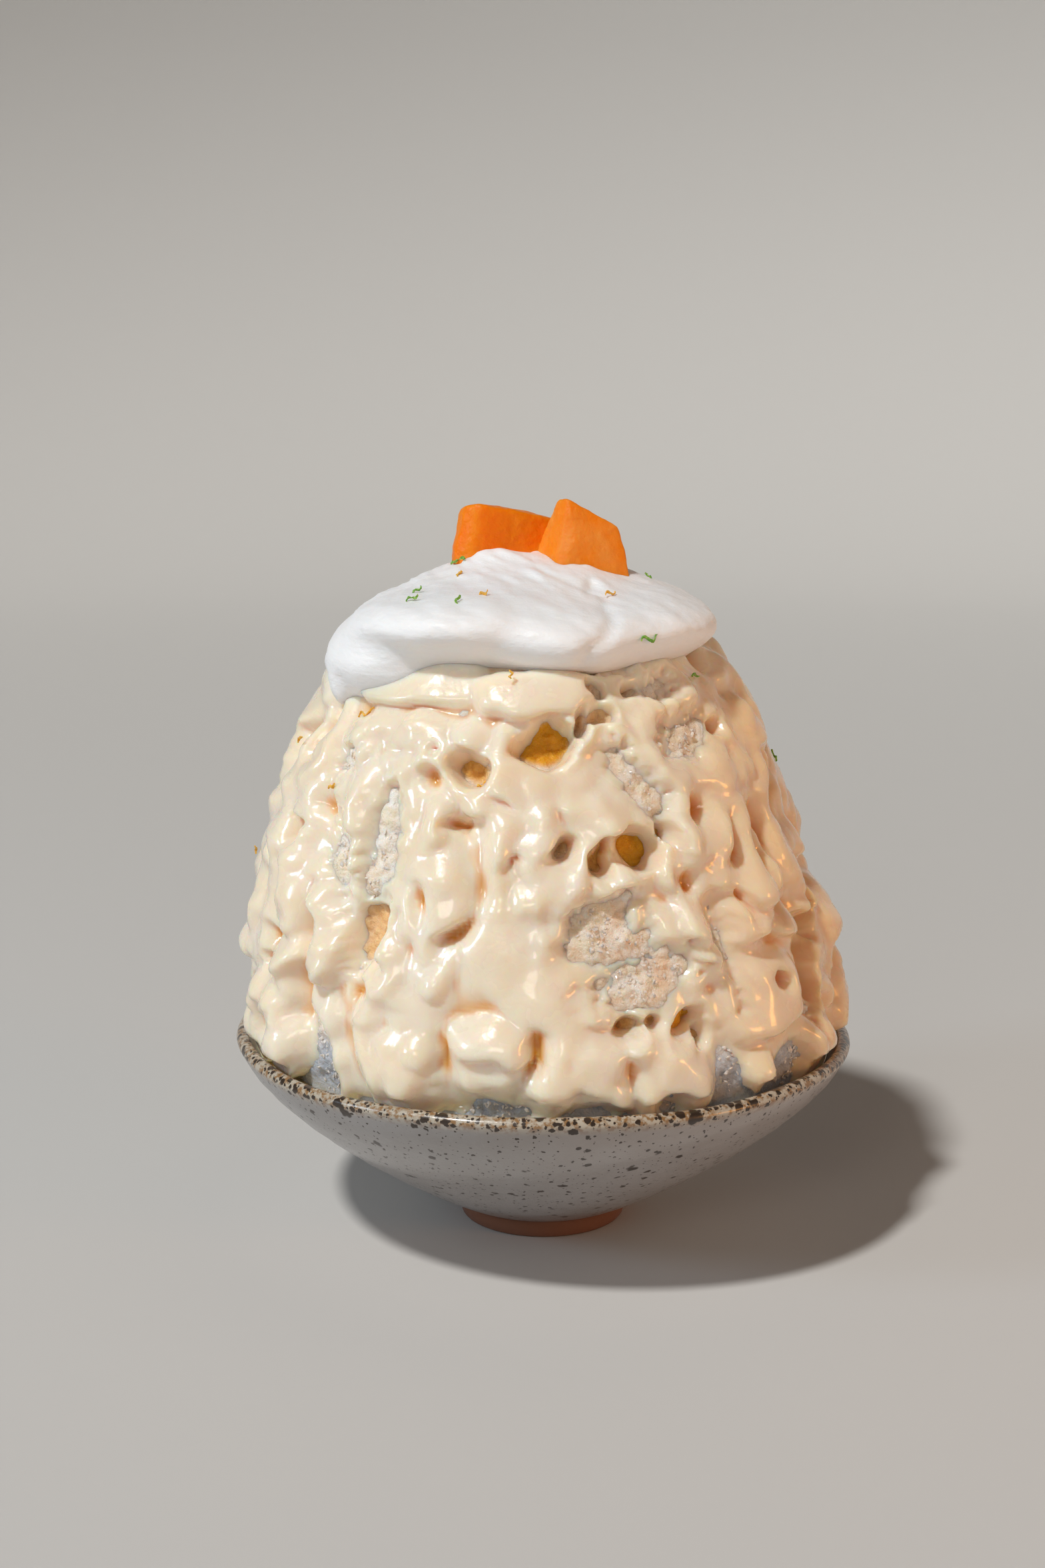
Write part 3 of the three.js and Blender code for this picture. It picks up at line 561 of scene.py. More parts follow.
bowl_floor = wall_point(0, -WALL)[1]
ice_section = [(0, bowl_floor + 0.4), (14, bowl_floor + 0.4)]
ice_section += [tuple(wall_point(t, -WALL - 0.4)) for t in (0.1, 0.3, 0.5, 0.7, 0.85)]
ice_section += heap_line(HEAP_FOOT, HEAP_TOP - 0.2, ICE_ROWS) + [(0, HEAP_TOP)]
ice = spun_body("ice", ice_section, ICE_SIDES)
for fine_within in (4.0, 2.0):
    bearing, z = heap_place(face_middles(ice))
    near = np.min(nearest_edges(bearing, z), axis=0) < fine_within
    split_faces(ice, near & (z > HEAP_FOOT) & (z < HEAP_TOP - 6))
points = mesh_points(ice)
bearing, z = heap_place(points)
dome = z > HEAP_FOOT - 0.5
moved = heap_point(bearing, z, np.where(z > HEAP_TOP - 0.1, 0, heap_radius(z)))
moved += heap_normal(bearing, z) * ice_relief(bearing, z)[:, None]
points[dome] = moved[dome]
move_points(ice, points)
bpy.ops.object.shade_smooth()
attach(ice, "root")
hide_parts("shaved_ice")
# Ice in deep windows and dents turns amber as deep as the hollow goes: partly syrup soaked into it,
# partly painted warm shade.
soak_bearing, soak_z = drifted(bearing, z)
deep = np.zeros(len(z))
for window in windows:
    inside = ease(1.5, -1, from_edge(window, soak_bearing, soak_z))
    deep = np.maximum(deep, inside * max(window[5], 0))
soaked_and_shaded = np.clip((deep + dent_depth(soak_bearing, soak_z)) / 4, 0, 1) * ease(56, 64, z)
note(ice, "soaked_and_shaded", soaked_and_shaded)
note(ice, "low", ease(64, 54, z))

ICE_PALE = (0.98, 0.90, 0.82)
ICE_PINK = (0.93, 0.70, 0.52)
ICE_COLD = (0.50, 0.52, 0.56)
CREAM_SMEAR = (0.93, 0.80, 0.62)
SYRUP_AND_SHADE = (0.80, 0.36, 0.02)
finish = Finish("ice")
grain = finish.ramp(finish.noise(0.0045, 4, 0.6), (0.35, 0.0), (0.62, 1.0))
snow = finish.blend(grain, ICE_PALE, ICE_PINK)
smear = finish.ramp(finish.noise(0.005, 3, 0.6), (0.53, 0.0), (0.58, 0.9))
snow = finish.blend(smear, snow, CREAM_SMEAR)
snow = finish.blend(finish.attribute("low"), snow, ICE_COLD)
# Amber in deep hollows: soaked syrup and painted warm shade.
finish.link(finish.blend(finish.attribute("soaked_and_shaded"), snow, SYRUP_AND_SHADE), "Base Color")
finish.link(finish.ramp(finish.noise(0.0015, 3), (0.35, 0.08), (0.7, 0.45)), "Roughness")
coarse = finish.bump(finish.noise(0.0016, 4, 0.6), 0.0008)
finish.link(finish.bump(finish.noise(0.0005, 2), 0.0002, under=coarse), "Normal")
finish.set(Subsurface_Weight=0.6, Subsurface_Radius=(1.0, 0.7, 0.5), Subsurface_Scale=0.004, IOR=1.31)
ice.data.materials.append(finish.material)


# Loose flakes lie on the snow in the flush windows, each a flat five-sided double cone.
FLAKES = 1100
FLAKE_SIZES = (0.3, 0.85)
FLAKE_PALE = (0.95, 0.88, 0.80)
FLAKE_WARM = (0.90, 0.76, 0.62)
flake = [(0, 0, 1), (0, 0, -1)]
flake += [(math.cos(a), math.sin(a), 0) for a in np.radians([0, 72, 144, 216, 288])]
flake_faces = [(0, 2 + i, 2 + (i + 1) % 5) for i in range(5)]
flake_faces += [(1, 2 + (i + 1) % 5, 2 + i) for i in range(5)]
random = np.random.default_rng(7)
shallow = np.array([w for w in windows if w[5] < 1])
spread = shallow[:, 2] * shallow[:, 3]
picked = shallow[random.choice(len(shallow), FLAKES, p=spread / spread.sum())]
share, turn = np.sqrt(random.random(FLAKES)), random.random(FLAKES) * math.tau
across = np.degrees(share * picked[:, 2] * np.cos(turn) / np.maximum(heap_radius(picked[:, 1]), 12))
bearing, z = picked[:, 0] + across, picked[:, 1] + share * picked[:, 3] * np.sin(turn)
kept = (nearest_edges(bearing, z)[0] < -0.2) & (z > HEAP_FOOT + 2)
bearing, z = bearing[kept], z[kept]
outs = heap_normal(bearing, z)
spots = heap_point(bearing, z) + outs * (ice_relief(bearing, z) + 0.15)[:, None]
faces, verts = [], []
for spot, out in zip(spots, outs):
    size = random.uniform(*FLAKE_SIZES)
    shape = np.array(flake) * (size, size * random.uniform(0.4, 0.9), size * 0.3)
    shape = shape + random.normal(0, 0.1 * size, shape.shape)
    axis = random.normal(0, 0.45, 3) + out
    axis /= np.linalg.norm(axis)
    side = np.cross(axis, random.normal(0, 1, 3))
    side /= np.linalg.norm(side)
    faces += [tuple(len(verts) + i for i in face) for face in flake_faces]
    verts += list(spot + shape @ np.array([side, np.cross(axis, side), axis]))
flakes = mesh_object("ice_flakes", verts, faces=faces)
face_out(flakes)
finish = Finish("ice_flakes")
finish.link(finish.blend(finish.noise(0.002), FLAKE_PALE, FLAKE_WARM), "Base Color")
finish.link(finish.ramp(finish.noise(0.001), (0.3, 0.05), (0.7, 0.25)), "Roughness")
finish.set(Subsurface_Weight=0.6, Subsurface_Radius=(1.0, 0.8, 0.6), Subsurface_Scale=0.002, IOR=1.31)
flakes.data.materials.append(finish.material)
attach(flakes, "root")
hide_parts("shaved_ice")


# ---- Milk cream ------------------------------
# Thick sweetened cream poured over the heap from the top. It runs down in ropes, slabs and
# drips, sags as it slows, and leaves rounded hollows and open windows between the runs.
SHEET = 2.2
CREAM_HEM = 43.0
HEM_LEVEL = 48.5
CAP_EDGE = 143.0
SAG = 0.5
FILLET = 1.3
LIP = 1.9
FEATHER = 2.6
CREAM_SIDES = 360
CREAM_ROWS = 144
REACH = RIM_RADIUS - 0.4

# Runs of the front: bearing and height at the start and at the end, half width at each, bulge.
front_runs = [
    (-48, 125, -48, 123, 6, 6, 7),
    (-40, 117, -40, 110, 6, 6, 4.5),
    (-30, 127, -12, 113, 7, 5, 4.5),
    (-72, 122, -62, 110, 5, 5.5, 5.5),
    (-58, 117, -60, 95, 5.5, 6, 5.5),
    (-57, 92, -57, 76, 5.5, 6, 6),
    (-58, 74, -59, 54, 6, 7.5, 6.5),
    (-48, 88, -45, 75, 5.5, 6.5, 6.5),
    (-46, 69, -45, 61, 5.5, 5.5, 6.5),
    (-44, 58, -43, 55, 4.5, 4.5, 5),
    (-78, 104, -76, 84, 7, 7, 5.5),
    (-76, 78, -72, 51, 6, 7, 6),
    (-5, 118, 6, 96, 10, 11, 5),
    (-22, 100, -20, 84, 9, 9, 5.5),
    (-30, 76, -34, 74, 6, 6, 7),
    (-24, 72, -27, 54, 10, 9, 6),
    (-33, 66, -31, 52, 5, 6, 6),
    (-29, 54, -28, 48.5, 5, 4.6, 6),
    (-6, 84, 4, 68, 12, 11, 5),
    (-14, 64, -4, 63, 6, 6, 7.5),
    (-10, 60, -10, 56, 9, 9, 5.5),
    (-1, 60, -1, 52, 6, 7, 6),
    (9, 70, 9, 51, 7, 7, 5.6),
    (18, 68, 19, 49, 4.5, 5, 6),
    (25, 60, 26, 51, 6, 8, 6.5),
    (30, 121, 37, 97, 8, 8, 6),
    (9, 112, 16, 90, 4.5, 5.5, 4.5),
    (46, 118, 50, 90, 6, 7, 6),
    (30, 92, 34, 74, 6, 6.5, 6.5),
    (45, 86, 44, 66, 6.5, 8, 7),
    (58, 80, 63, 52, 7, 8, 6.5),
    (42, 57, 42, 53, 4.4, 4.4, 7),
]
SPREAD_RUNS = 96
RUN_STEPS = 8
BEAD = 13.0


def spread_run(i):
    """One of the runs spread evenly over the dome by the golden angle."""
    height = 54 + 88 * ((i + 0.5) / SPREAD_RUNS) ** 1.1
    bearing = (i * GOLDEN_ANGLE) % 360 - 180
    small = 0.55 if abs(bearing) < 62 and height < 134 else 1
    drop = mix(10, 30, chance(i + 300)) * small
    width = mix(4.6, 7.4, chance(i + 500)) * small
    bulge = mix(4, 7, chance(i + 700)) * mix(0.7, 1, small)
    drift = 10 * chance(i + 900) - 5
    end = max(height - drop / 2, 49)
    return (bearing, height + drop / 2, bearing + drift, end, width, width * 1.2, bulge)


def run_height(run, points):
    """How far a run stands up over points of the heap, below 0 beside it."""
    b0, z0, b1, z1, w0, w1, bulge = run
    t = np.linspace(0, 1, RUN_STEPS + 1)
    chain = heap_point(mix(b0, b1, t), np.minimum(mix(z0, z1, t), HEAP_TOP - 2))
    length = np.linalg.norm(chain[-1] - chain[0])
    best = np.full(len(points), -9.0)
    for i in range(RUN_STEPS):
        part = chain[i + 1] - chain[i]
        share = np.clip((points - chain[i]) @ part / max(part @ part, 1e-9), 0, 1)
        away = np.linalg.norm(points - chain[i] - share[:, None] * part, axis=1)
        along = (i + share) / RUN_STEPS
        bead = np.sin(along * length * math.tau / BEAD + b0)
        away /= mix(w0, w1, along) * (1 + 0.16 * bead)
        round_top = np.where(away < 1, np.sqrt(np.clip(1 - away**2, 0, 1)), 1 - away)
        best = np.maximum(best, bulge * mix(0.8, 1.1, along) * (1 + 0.16 * bead) * round_top)
    return best


def blend_up(a, b, k):
    """The larger of two heights, with a fillet of size k where they meet."""
    h = np.clip(0.5 + 0.5 * (a - b) / k, 0, 1)
    return mix(b, a, h) + k * h * (1 - h)


def apply_modifier(obj, kind, **settings):
    """Gives an object a modifier with these settings and applies it."""
    only(obj)
    modifier = obj.modifiers.new(kind.lower(), kind)
    for key, value in settings.items():
        setattr(modifier, key, value)
    bpy.ops.object.modifier_apply(modifier=modifier.name)


def mesh_normals(obj):
    flat = np.empty(3 * len(obj.data.vertices))
    obj.data.vertex_normals.foreach_get("vector", flat)
    return flat.reshape(-1, 3)


def hem(bearing):
    """Height of the sheet's lower edge."""
    waves = [(1.2, 2, 40), (1.5, 5, -20), (1.4, 11, 0)]
    return HEM_LEVEL + sum(high * np.sin(np.radians(n * bearing + at)) for high, n, at in waves)


def round_edge(distance, lip=LIP):
    """Share of the full height at a distance from an edge that is rounded over a lip."""
    return np.sqrt(1 - (1 - np.clip(distance / lip, 0, 1)) ** 2)


def folded(points):
    """Soft bumps with narrow creases between them, from -0.3 up to about 0.6."""
    push = [noise(points + offset, 8) for offset in (13, 37, 61)]
    pushed = points + 2.5 * np.stack(push, axis=1)
    broad = np.sqrt(noise(pushed, 8, 10.5) ** 2 + 0.008) - 0.3
    small = np.sqrt(noise(pushed + 17, 4.6, 5.6) ** 2 + 0.015) - 0.3
    return broad + 0.42 * small


# Flat-faced slabs that hang out from under the cap: bearing, height, half width, half length,
# slant, how far they stand out and the radius of their lip.
slabs = [
    (-36, 137.5, 18, 7.2, 0, 5.6, 2.2),
    (1, 135.8, 13.5, 5.8, 2, 6.4, 2.6),
    (45, 68, 17, 9, 14, 5.4, 4),
]
UNDERCUT = 0.5
# Places where the cream lies smooth: bearing, height, half width, half length, slant.
calm_places = [(-5, 76, 18, 14, 20), (-36, 136, 17, 7, 0), (-18, 91, 8, 6, 0)]


def cream_height(true_bearing, true_z):
    """How far the cream stands out from the heap's curve, below 0 where it is open."""
    bearing, z = drifted(true_bearing, true_z)
    points = heap_point(bearing, z)
    over = z - hem(bearing)
    height = np.where(over > 0, SHEET * round_edge(over), np.maximum(-2, over))
    for run in front_runs + [spread_run(i) for i in range(SPREAD_RUNS)]:
        near = np.abs(z - (run[1] + run[3]) / 2) < abs(run[1] - run[3]) / 2 + 16
        turned = np.abs(turn_from((run[0] + run[2]) / 2, bearing))
        near &= turned < abs(run[0] - run[2]) / 2 + 30
        height[near] = blend_up(height[near], run_height(run, points[near]), FILLET)
    calm = np.ones(len(z))
    for place in calm_places:
        calm *= mix(0.3, 1, ease(-3, 4, from_edge(place, bearing, z)))
    bumps = 1.2 * noise(points, 9, 11) + 3.8 * folded(points)
    side = turn_from(0, bearing)
    calm *= mix(1, 0.6, ease(-60, -72, side) * ease(-150, -130, side))
    height += bumps * calm * ease(0, 3, height)
    for slab in slabs:
        inside = -from_edge(slab, bearing, z, 3)
        height *= mix(UNDERCUT, 1, ease(0, 5, -inside))
        flat = np.where(inside > 0, slab[5] * round_edge(inside, slab[6]), np.maximum(-9, inside))
        height = blend_up(height, flat, 0.8)
    height -= dent_depth(bearing, z)
    height = mix(SHEET, height, ease(CAP_EDGE + 4, CAP_EDGE - 4, z))
    flush, deep = nearest_edges(true_bearing, true_z)
    height *= mix(0.45, 1, ease(0, 6, flush))
    thin = np.clip(flush / FEATHER, 0, 1)
    thinned = np.where(flush > 0, height * thin * (2 - thin), np.maximum(-1.5, 0.5 * flush))
    height = np.where(flush < FEATHER, np.minimum(thinned, height), height)
    walled = np.where(deep > 0, height * round_edge(deep), np.maximum(-7, 3 * deep))
    height = np.where(deep < LIP, np.minimum(walled, height), height)
    return height


cream_section = [(0, CREAM_HEM - 2), (HEAP_RADIUS - 12, CREAM_HEM - 1.5)]
cream_section += heap_line(CREAM_HEM, HEAP_TOP - 0.2, CREAM_ROWS) + [(0, HEAP_TOP)]
cream = spun_body("milk_cream_finish", cream_section, CREAM_SIDES)
bearing, z = heap_place(face_middles(cream))
near = np.abs(np.min(nearest_edges(bearing, z), axis=0)) < 1.4
split_faces(cream, near & (z > CREAM_HEM) & (z < CAP_EDGE + 2))
points = mesh_points(cream)
bearing, z = heap_place(points)
outside = z > CREAM_HEM - 0.1
height = np.full(len(z), -2.0)
height[outside] = cream_height(bearing[outside], z[outside])
moved = heap_point(bearing, z, np.where(z > HEAP_TOP - 0.1, 0, heap_radius(z)))
moved += heap_normal(bearing, z) * height[:, None]
moved[:, 2] -= SAG * np.maximum(height - SHEET, 0) * ease(HEAP_TOP, CAP_EDGE, z)
reach = np.hypot(moved[:, 0], moved[:, 1])
# Below the rim the cream stays within the bowl's wall, and above it just within the rim.
room = mix(RIM_RADIUS - WALL - 1.2, REACH, ease(BOWL_HEIGHT + 1.2, BOWL_HEIGHT + 3.2, moved[:, 2]))
room -= 0.6 * np.maximum(BOWL_HEIGHT - 0.5 - moved[:, 2], 0)
moved[:, :2] *= np.minimum(1, room / np.maximum(reach, 1))[:, None]
points[outside] = moved[outside]
move_points(cream, points)
apply_modifier(cream, "SMOOTH", factor=0.5, iterations=2)
bpy.ops.object.shade_smooth()
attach(cream, "root")
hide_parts("milk_cream")


def note_hollows(obj, name, passes, depth, share=1.0):
    """Stores how far each point lies in a hollow, 0 to 1, times a share."""
    only(obj)
    bpy.ops.object.duplicate()
    worn = bpy.context.object
    apply_modifier(worn, "SMOOTH", factor=1.0, iterations=passes)
    over = ((mesh_points(worn) - mesh_points(obj)) * mesh_normals(obj)).sum(axis=1)
    bpy.ops.object.delete()
    note(obj, name, np.clip(over / depth, 0, 1) * share)


# The right side gets painted warm shade, and hollows get painted shade, deeper in colour, away from bare
# ice.
flush_edge = nearest_edges(bearing, z)[0]
clear = ease(0.6, 3.5, flush_edge)
note(cream, "right_shade", ease(18, 72, bearing) * ease(165, 120, bearing) * ease(150, 128, z))
note_hollows(cream, "hollow", 40, 2.0, clear)
note_hollows(cream, "valley", 220, 4.5, mix(0.25, 1, clear))

CREAM_COLOR = (0.95, 0.845, 0.735)
CREAM_WARM = (0.94, 0.75, 0.53)
CREAM_RIGHT_SHADE = (0.88, 0.56, 0.26)
PEACH_SHADE = (0.90, 0.56, 0.26)
AMBER_SHADE = (0.84, 0.38, 0.05)
RIGHT_SHADE_SHARE = 0.65
finish = Finish("milk_cream")
color = finish.blend(finish.noise(0.014), CREAM_COLOR, CREAM_WARM)
# Painted warm shade on the right side of the heap, turning the cream orange-brown there.
color = finish.blend(finish.math("MULTIPLY", finish.attribute("right_shade"), RIGHT_SHADE_SHARE), color, CREAM_RIGHT_SHADE)
# Painted shade: the cream turns peach in broad valleys and amber in narrow hollows.
color = finish.blend(finish.ramp(finish.attribute("valley"), (0.05, 0.0), (0.65, 1.0)), color, PEACH_SHADE)
color = finish.blend(finish.ramp(finish.attribute("hollow"), (0.28, 0.0), (1.0, 1.0)), color, AMBER_SHADE)
finish.link(color, "Base Color")
finish.link(finish.ramp(finish.noise(0.006), (0.3, 0.2), (0.75, 0.34)), "Roughness")
soft = finish.bump(finish.noise(0.0035), 0.0002)
finish.link(finish.bump(finish.noise(0.0009, 3), 0.00004, under=soft), "Normal")
finish.set(Subsurface_Weight=0.85, Subsurface_Radius=(1.0, 0.5, 0.22), Subsurface_Scale=0.0055)
finish.set(Coat_Weight=0.6, Coat_Roughness=0.03)
cream.data.materials.append(finish.material)


# Where the cream has melted it lies as a thin pool round the foot of the heap.
POOL_LEVEL = 43.6
POOL_INSIDE = 58
POOL_SIDES = 192
POOL_SYRUP = (0.80, 0.66, 0.36)
POOL_PALE = (0.70, 0.62, 0.44)
wall = np.array([wall_point(t, -WALL) for t in np.linspace(0, 1, 400)])
pool_edge = float(np.interp(POOL_LEVEL, wall[:, 1], wall[:, 0]))
pool_section = [(POOL_INSIDE, -3), (60, 0.9), (64, 0.35), (66, 0), (pool_edge - 1.6, 0)]
pool_section += [(pool_edge - 0.7, 0.2), (pool_edge - 0.1, 0.9), (pool_edge - 1.6, -2.4)]
pool_section += [(POOL_INSIDE, -3)]
pool = spun_body("melted_pool", [(r, POOL_LEVEL + up) for r, up in pool_section], POOL_SIDES)
points = mesh_points(pool)
points[:, 2] += RIM_TILT * (-points[:, 0] / RIM_RADIUS) * 0.6
points[:, 2] += 0.25 * noise(points, 9) * ease(70, 66, np.hypot(points[:, 0], points[:, 1]))
move_points(pool, points)
bpy.ops.object.shade_smooth()
finish = Finish("melted_cream")
thin = finish.ramp(finish.noise(0.01, 3), (0.35, 0.0), (0.65, 1.0))
finish.link(finish.blend(thin, POOL_SYRUP, POOL_PALE), "Base Color")
finish.link(finish.ramp(finish.noise(0.006), (0.3, 0.08), (0.75, 0.2)), "Roughness")
finish.set(Subsurface_Weight=0.7, Subsurface_Radius=(1.0, 0.6, 0.25), Subsurface_Scale=0.004)
pool.data.materials.append(finish.material)
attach(pool, "root")
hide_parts("milk_cream")


# ---- Whipped cream ---------------------------
# One soft spoonful of stiff cream that has settled into a few lobes, with a crease where the
# spoon folded it, wrinkles drawn towards the top and a small drip at the left.
DOLLOP = (-4, 0, 141)
DOLLOP_SIDES = 288
DOLLOP_ROWS = 150
LOBE_FILLET = 3.4
CAP_COOL = (0.95, 0.96, 0.98)
CAP_PALE = (0.95, 0.95, 0.95)

# Centre and radii of each lobe.
lobes = [
    (-4, 0, 146, 42, 41, 14.5),
    (-31, -13, 140.5, 20, 24, 11.5),
    (-16, -25, 149.9, 27, 22, 7.8),
    (5, -29, 146.8, 16, 19.5, 7.4),
    (20.5, -16, 149, 18.8, 23.5, 7.2),
    (21.5, 10, 147, 18, 21, 9),
    (4, 27, 144, 25, 20, 12),
    (-27, 21, 142, 22, 22, 12),
    (-3, 0, 156.8, 24, 22, 7),
    (-11, -6, 160.4, 7, 4.6, 5),
    (-46, -22, 134.6, 2.5, 2.6, 3.8),
]
# Folds on the front: their (x, z) corners, half width and depth.
folds = [
    ([(11, 158), (14.3, 155), (14.6, 151.5), (12.8, 148.4), (9.5, 146.6), (8.5, 144)], 1.4, 1.5),
    ([(-40, 147), (-30, 145.5), (-18, 146.5)], 1.6, 0.5),
    ([(24, 152), (29, 149.5), (33, 146)], 1.2, 0.45),
]


def from_lobes(points):
    """Near enough the distance from points to the lobes blended together, below 0 inside."""
    depth = np.full(len(points), -50.0)
    for *middle, a, b, c in lobes:
        away = np.linalg.norm((points - middle) / (a, b, c), axis=1)
        depth = blend_up(depth, -(away - 1) * min(a, b, c), LOBE_FILLET)
    return -depth


def dollop_points(ways):
    """The dollop's surface in each direction from its middle, found by halving."""
    low, high = np.full(len(ways), 2.0), np.full(len(ways), 60.0)
    for step in range(20):
        middle = (low + high) / 2
        outside = from_lobes(DOLLOP + ways * middle[:, None]) > 0
        low, high = np.where(outside, low, middle), np.where(outside, middle, high)
    return DOLLOP + ways * low[:, None]


def from_line(points, corners):
    """Distance from (x, z) points to a line through corners."""
    best = np.full(len(points), 99.0)
    for start, end in zip(np.array(corners[:-1], float), np.array(corners[1:], float)):
        part = end - start
        share = np.clip((points - start) @ part / (part @ part), 0, 1)
        best = np.minimum(best, np.linalg.norm(points - start - share[:, None] * part, axis=1))
    return best


bpy.ops.mesh.primitive_uv_sphere_add(segments=DOLLOP_SIDES, ring_count=DOLLOP_ROWS, radius=1)
dollop = bpy.context.object
dollop.name = "whipped_cream_finish"
ways = mesh_points(dollop) * MM
ways /= np.linalg.norm(ways, axis=1, keepdims=True)
points = dollop_points(ways)
front = points[:, 1] < 0
relief = 0.35 * noise(points, 7, 4)
for corners, width, depth in folds:
    across = from_line(points[:, [0, 2]] + 0.5 * noise(points, 3)[:, None], corners)
    relief -= np.where(front, depth * np.exp(-((across / width) ** 2)), 0)
# Wrinkles slant across the top, ripples stand at the right, and the sides sag in soft waves.
slanting = points + np.outer(points[:, 0], (0, 0, 0.4))
drawn = noise(slanting + 11, 9, 1.5) + 0.6 * noise(slanting + 31, 4, 1.0)
relief += 0.52 * drawn * ease(147, 153, points[:, 2])
relief += 0.35 * noise(points * (1, 1, 0.2) + 5, 1.8) * ease(14, 24, points[:, 0])
relief += 0.25 * noise(points + 3, 12, 2.2) * ease(152, 146, points[:, 2])
points += ways * relief[:, None]
move_points(dollop, points)
bpy.ops.object.shade_smooth()
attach(dollop, "root")
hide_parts("whipped_cream")

finish = Finish("whipped_cream")
finish.link(finish.blend(finish.noise(0.02), CAP_COOL, CAP_PALE), "Base Color")
finish.link(finish.ramp(finish.noise(0.004, 3), (0.3, 0.42), (0.7, 0.58)), "Roughness")
fine = finish.bump(finish.noise(0.0006, 3), 0.00008)
finish.link(finish.bump(finish.noise(0.003, 2, 0.5, (1, 1, 2.4)), 0.0003, under=fine), "Normal")
finish.set(Subsurface_Weight=0.5, Subsurface_Radius=(1.0, 0.85, 0.75), Subsurface_Scale=0.003)
dollop.data.materials.append(finish.material)


# ---- Fruit -----------------------------------
# Two chunks cut by hand from a ripe orange-fleshed fruit: wet cut faces, worn corners and a
# fine grain in the flesh. They stand pressed into the top of the whipped cream.
left_chunk = [
    (-20.4, 1.5, 174), (-18.7, -2.2, 175.4), (-15, -4.1, 175.6), (4, 1, 171.6), (-2, 12, 172.6),
    (-14, 10, 174.2), (-22.3, 2, 160.5), (-21.6, -2.4, 160), (-17.6, -5.1, 159.5), (5, 0.4, 158),
    (-3, 13, 159.5), (-16, 11, 160),
]
right_chunk = [
    (5.6, -8, 177.2), (3.2, -5.6, 176.8), (-2.5, 0.6, 163.2), (2.2, -12.7, 157), (7.2, -11.2, 167.4),
    (21, -9.2, 155.2), (17.5, -7.4, 170.6), (19.2, 7, 156.5), (14.4, 5, 168.4), (0, 2.2, 157),
    (6.2, -1, 174.6),
]


def chunk(name, corners, chamfer, wear):
    """The hull of the corners, with its edges worn round and its faces uneven."""
    points = np.array(corners)
    worn = []
    for p in points:
        others = points[np.any(points != p, axis=1)] - p
        worn += list(p + chamfer * others / np.linalg.norm(others, axis=1, keepdims=True))
    obj = mesh_object(name, worn)
    bpy.ops.object.mode_set(mode="EDIT")
    bpy.ops.mesh.select_all(action="SELECT")
    bpy.ops.mesh.convex_hull()
    bpy.ops.object.mode_set(mode="OBJECT")
    apply_modifier(obj, "REMESH", mode="VOXEL", voxel_size=0.3 * MM)
    apply_modifier(obj, "SMOOTH", factor=0.5, iterations=wear)
    points = mesh_points(obj)
    relief = 0.3 * noise(points, 5) + 0.12 * noise(points + 9, 1.6) + 0.05 * noise(points + 5, 0.7)
    move_points(obj, points + mesh_normals(obj) * relief[:, None])
    bpy.ops.object.shade_smooth()
    return obj


def flesh(name, deep, pale, rough):
    """Wet cut flesh that runs in streaks from a deep to a pale colour."""
    finish = Finish(name)
    streak = finish.noise(0.005, 4, 0.6, (1, 1, 0.5))
    finish.link(finish.blend(finish.ramp(streak, (0.35, 0.0), (0.7, 1.0)), deep, pale), "Base Color")
    finish.link(finish.ramp(finish.noise(0.002, 3), (0.35, rough), (0.7, rough + 0.2)), "Roughness")
    fine = finish.bump(finish.noise(0.0005, 3), 0.00012)
    finish.link(finish.bump(finish.noise(0.0022, 2), 0.0003, under=fine), "Normal")
    finish.set(Subsurface_Weight=0.6, Subsurface_Radius=(1.0, 0.3, 0.08), Subsurface_Scale=0.003)
    finish.set(Specular_IOR_Level=0.25)
    return finish.material


DEEP_ORANGE = ((1.0, 0.205, 0.001), (1.0, 0.27, 0.004))
RIPE_ORANGE = ((0.94, 0.24, 0.003), (0.92, 0.33, 0.05))
fruit_left = chunk("fruit_chunk_left_finish", left_chunk, 1.2, 40)
fruit_left.data.materials.append(flesh("deep_flesh", *DEEP_ORANGE, 0.3))
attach(fruit_left, "root")
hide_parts("fruit_chunk_left")
fruit_right = chunk("fruit_chunk_right_finish", right_chunk, 0.7, 14)
fruit_right.data.materials.append(flesh("ripe_flesh", *RIPE_ORANGE, 0.4))
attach(fruit_right, "root")
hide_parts("fruit_chunk_right")


# ---- Zest ------------------------------------
# Shavings of green and yellow citrus peel off a fine grater: thin curled ribbons with ragged
# edges, dropped on the whipped cream and the sauce.
# On the whipped cream: bearing, elevation, length, turn and whether it is green.
cap_zest = [
    (-66, 53, 2.6, 20, 1), (-79, 50, 2, 60, 1), (-46, 25, 2.6, 60, 1), (-38, 20, 3.2, 40, 1),
    (-22, 20.5, 2.3, 100, 1), (33.5, 8, 4.7, 5, 1), (-16, 25, 2.2, 30, 0), (36, 26, 3, 10, 0),
    (-45, 41, 2, 100, 0), (95, 30, 3, 40, 1), (140, 42, 2.6, 70, 0), (190, 28, 3.4, 20, 1),
    (232, 36, 2.8, 120, 1),
]
# On the milk cream: bearing, height, length, turn and whether it is green.
milk_zest = [
    (-50, 129.2, 4.8, 25, 0), (-6, 136.9, 2, 90, 0), (-71, 120, 2.4, 50, 0), (-52, 113.1, 2.4, 30, 0),
    (-12, 117.2, 2.4, 30, 0), (55, 136.5, 2.4, 0, 1), (98, 112, 3.4, 40, 1), (150, 96, 3, 80, 0),
    (205, 118, 3.2, 10, 1), (262, 88, 3, 60, 0),
]
ZEST_WIDE = 0.8
ZEST_THICK = 0.3
ZEST_STEPS = 18


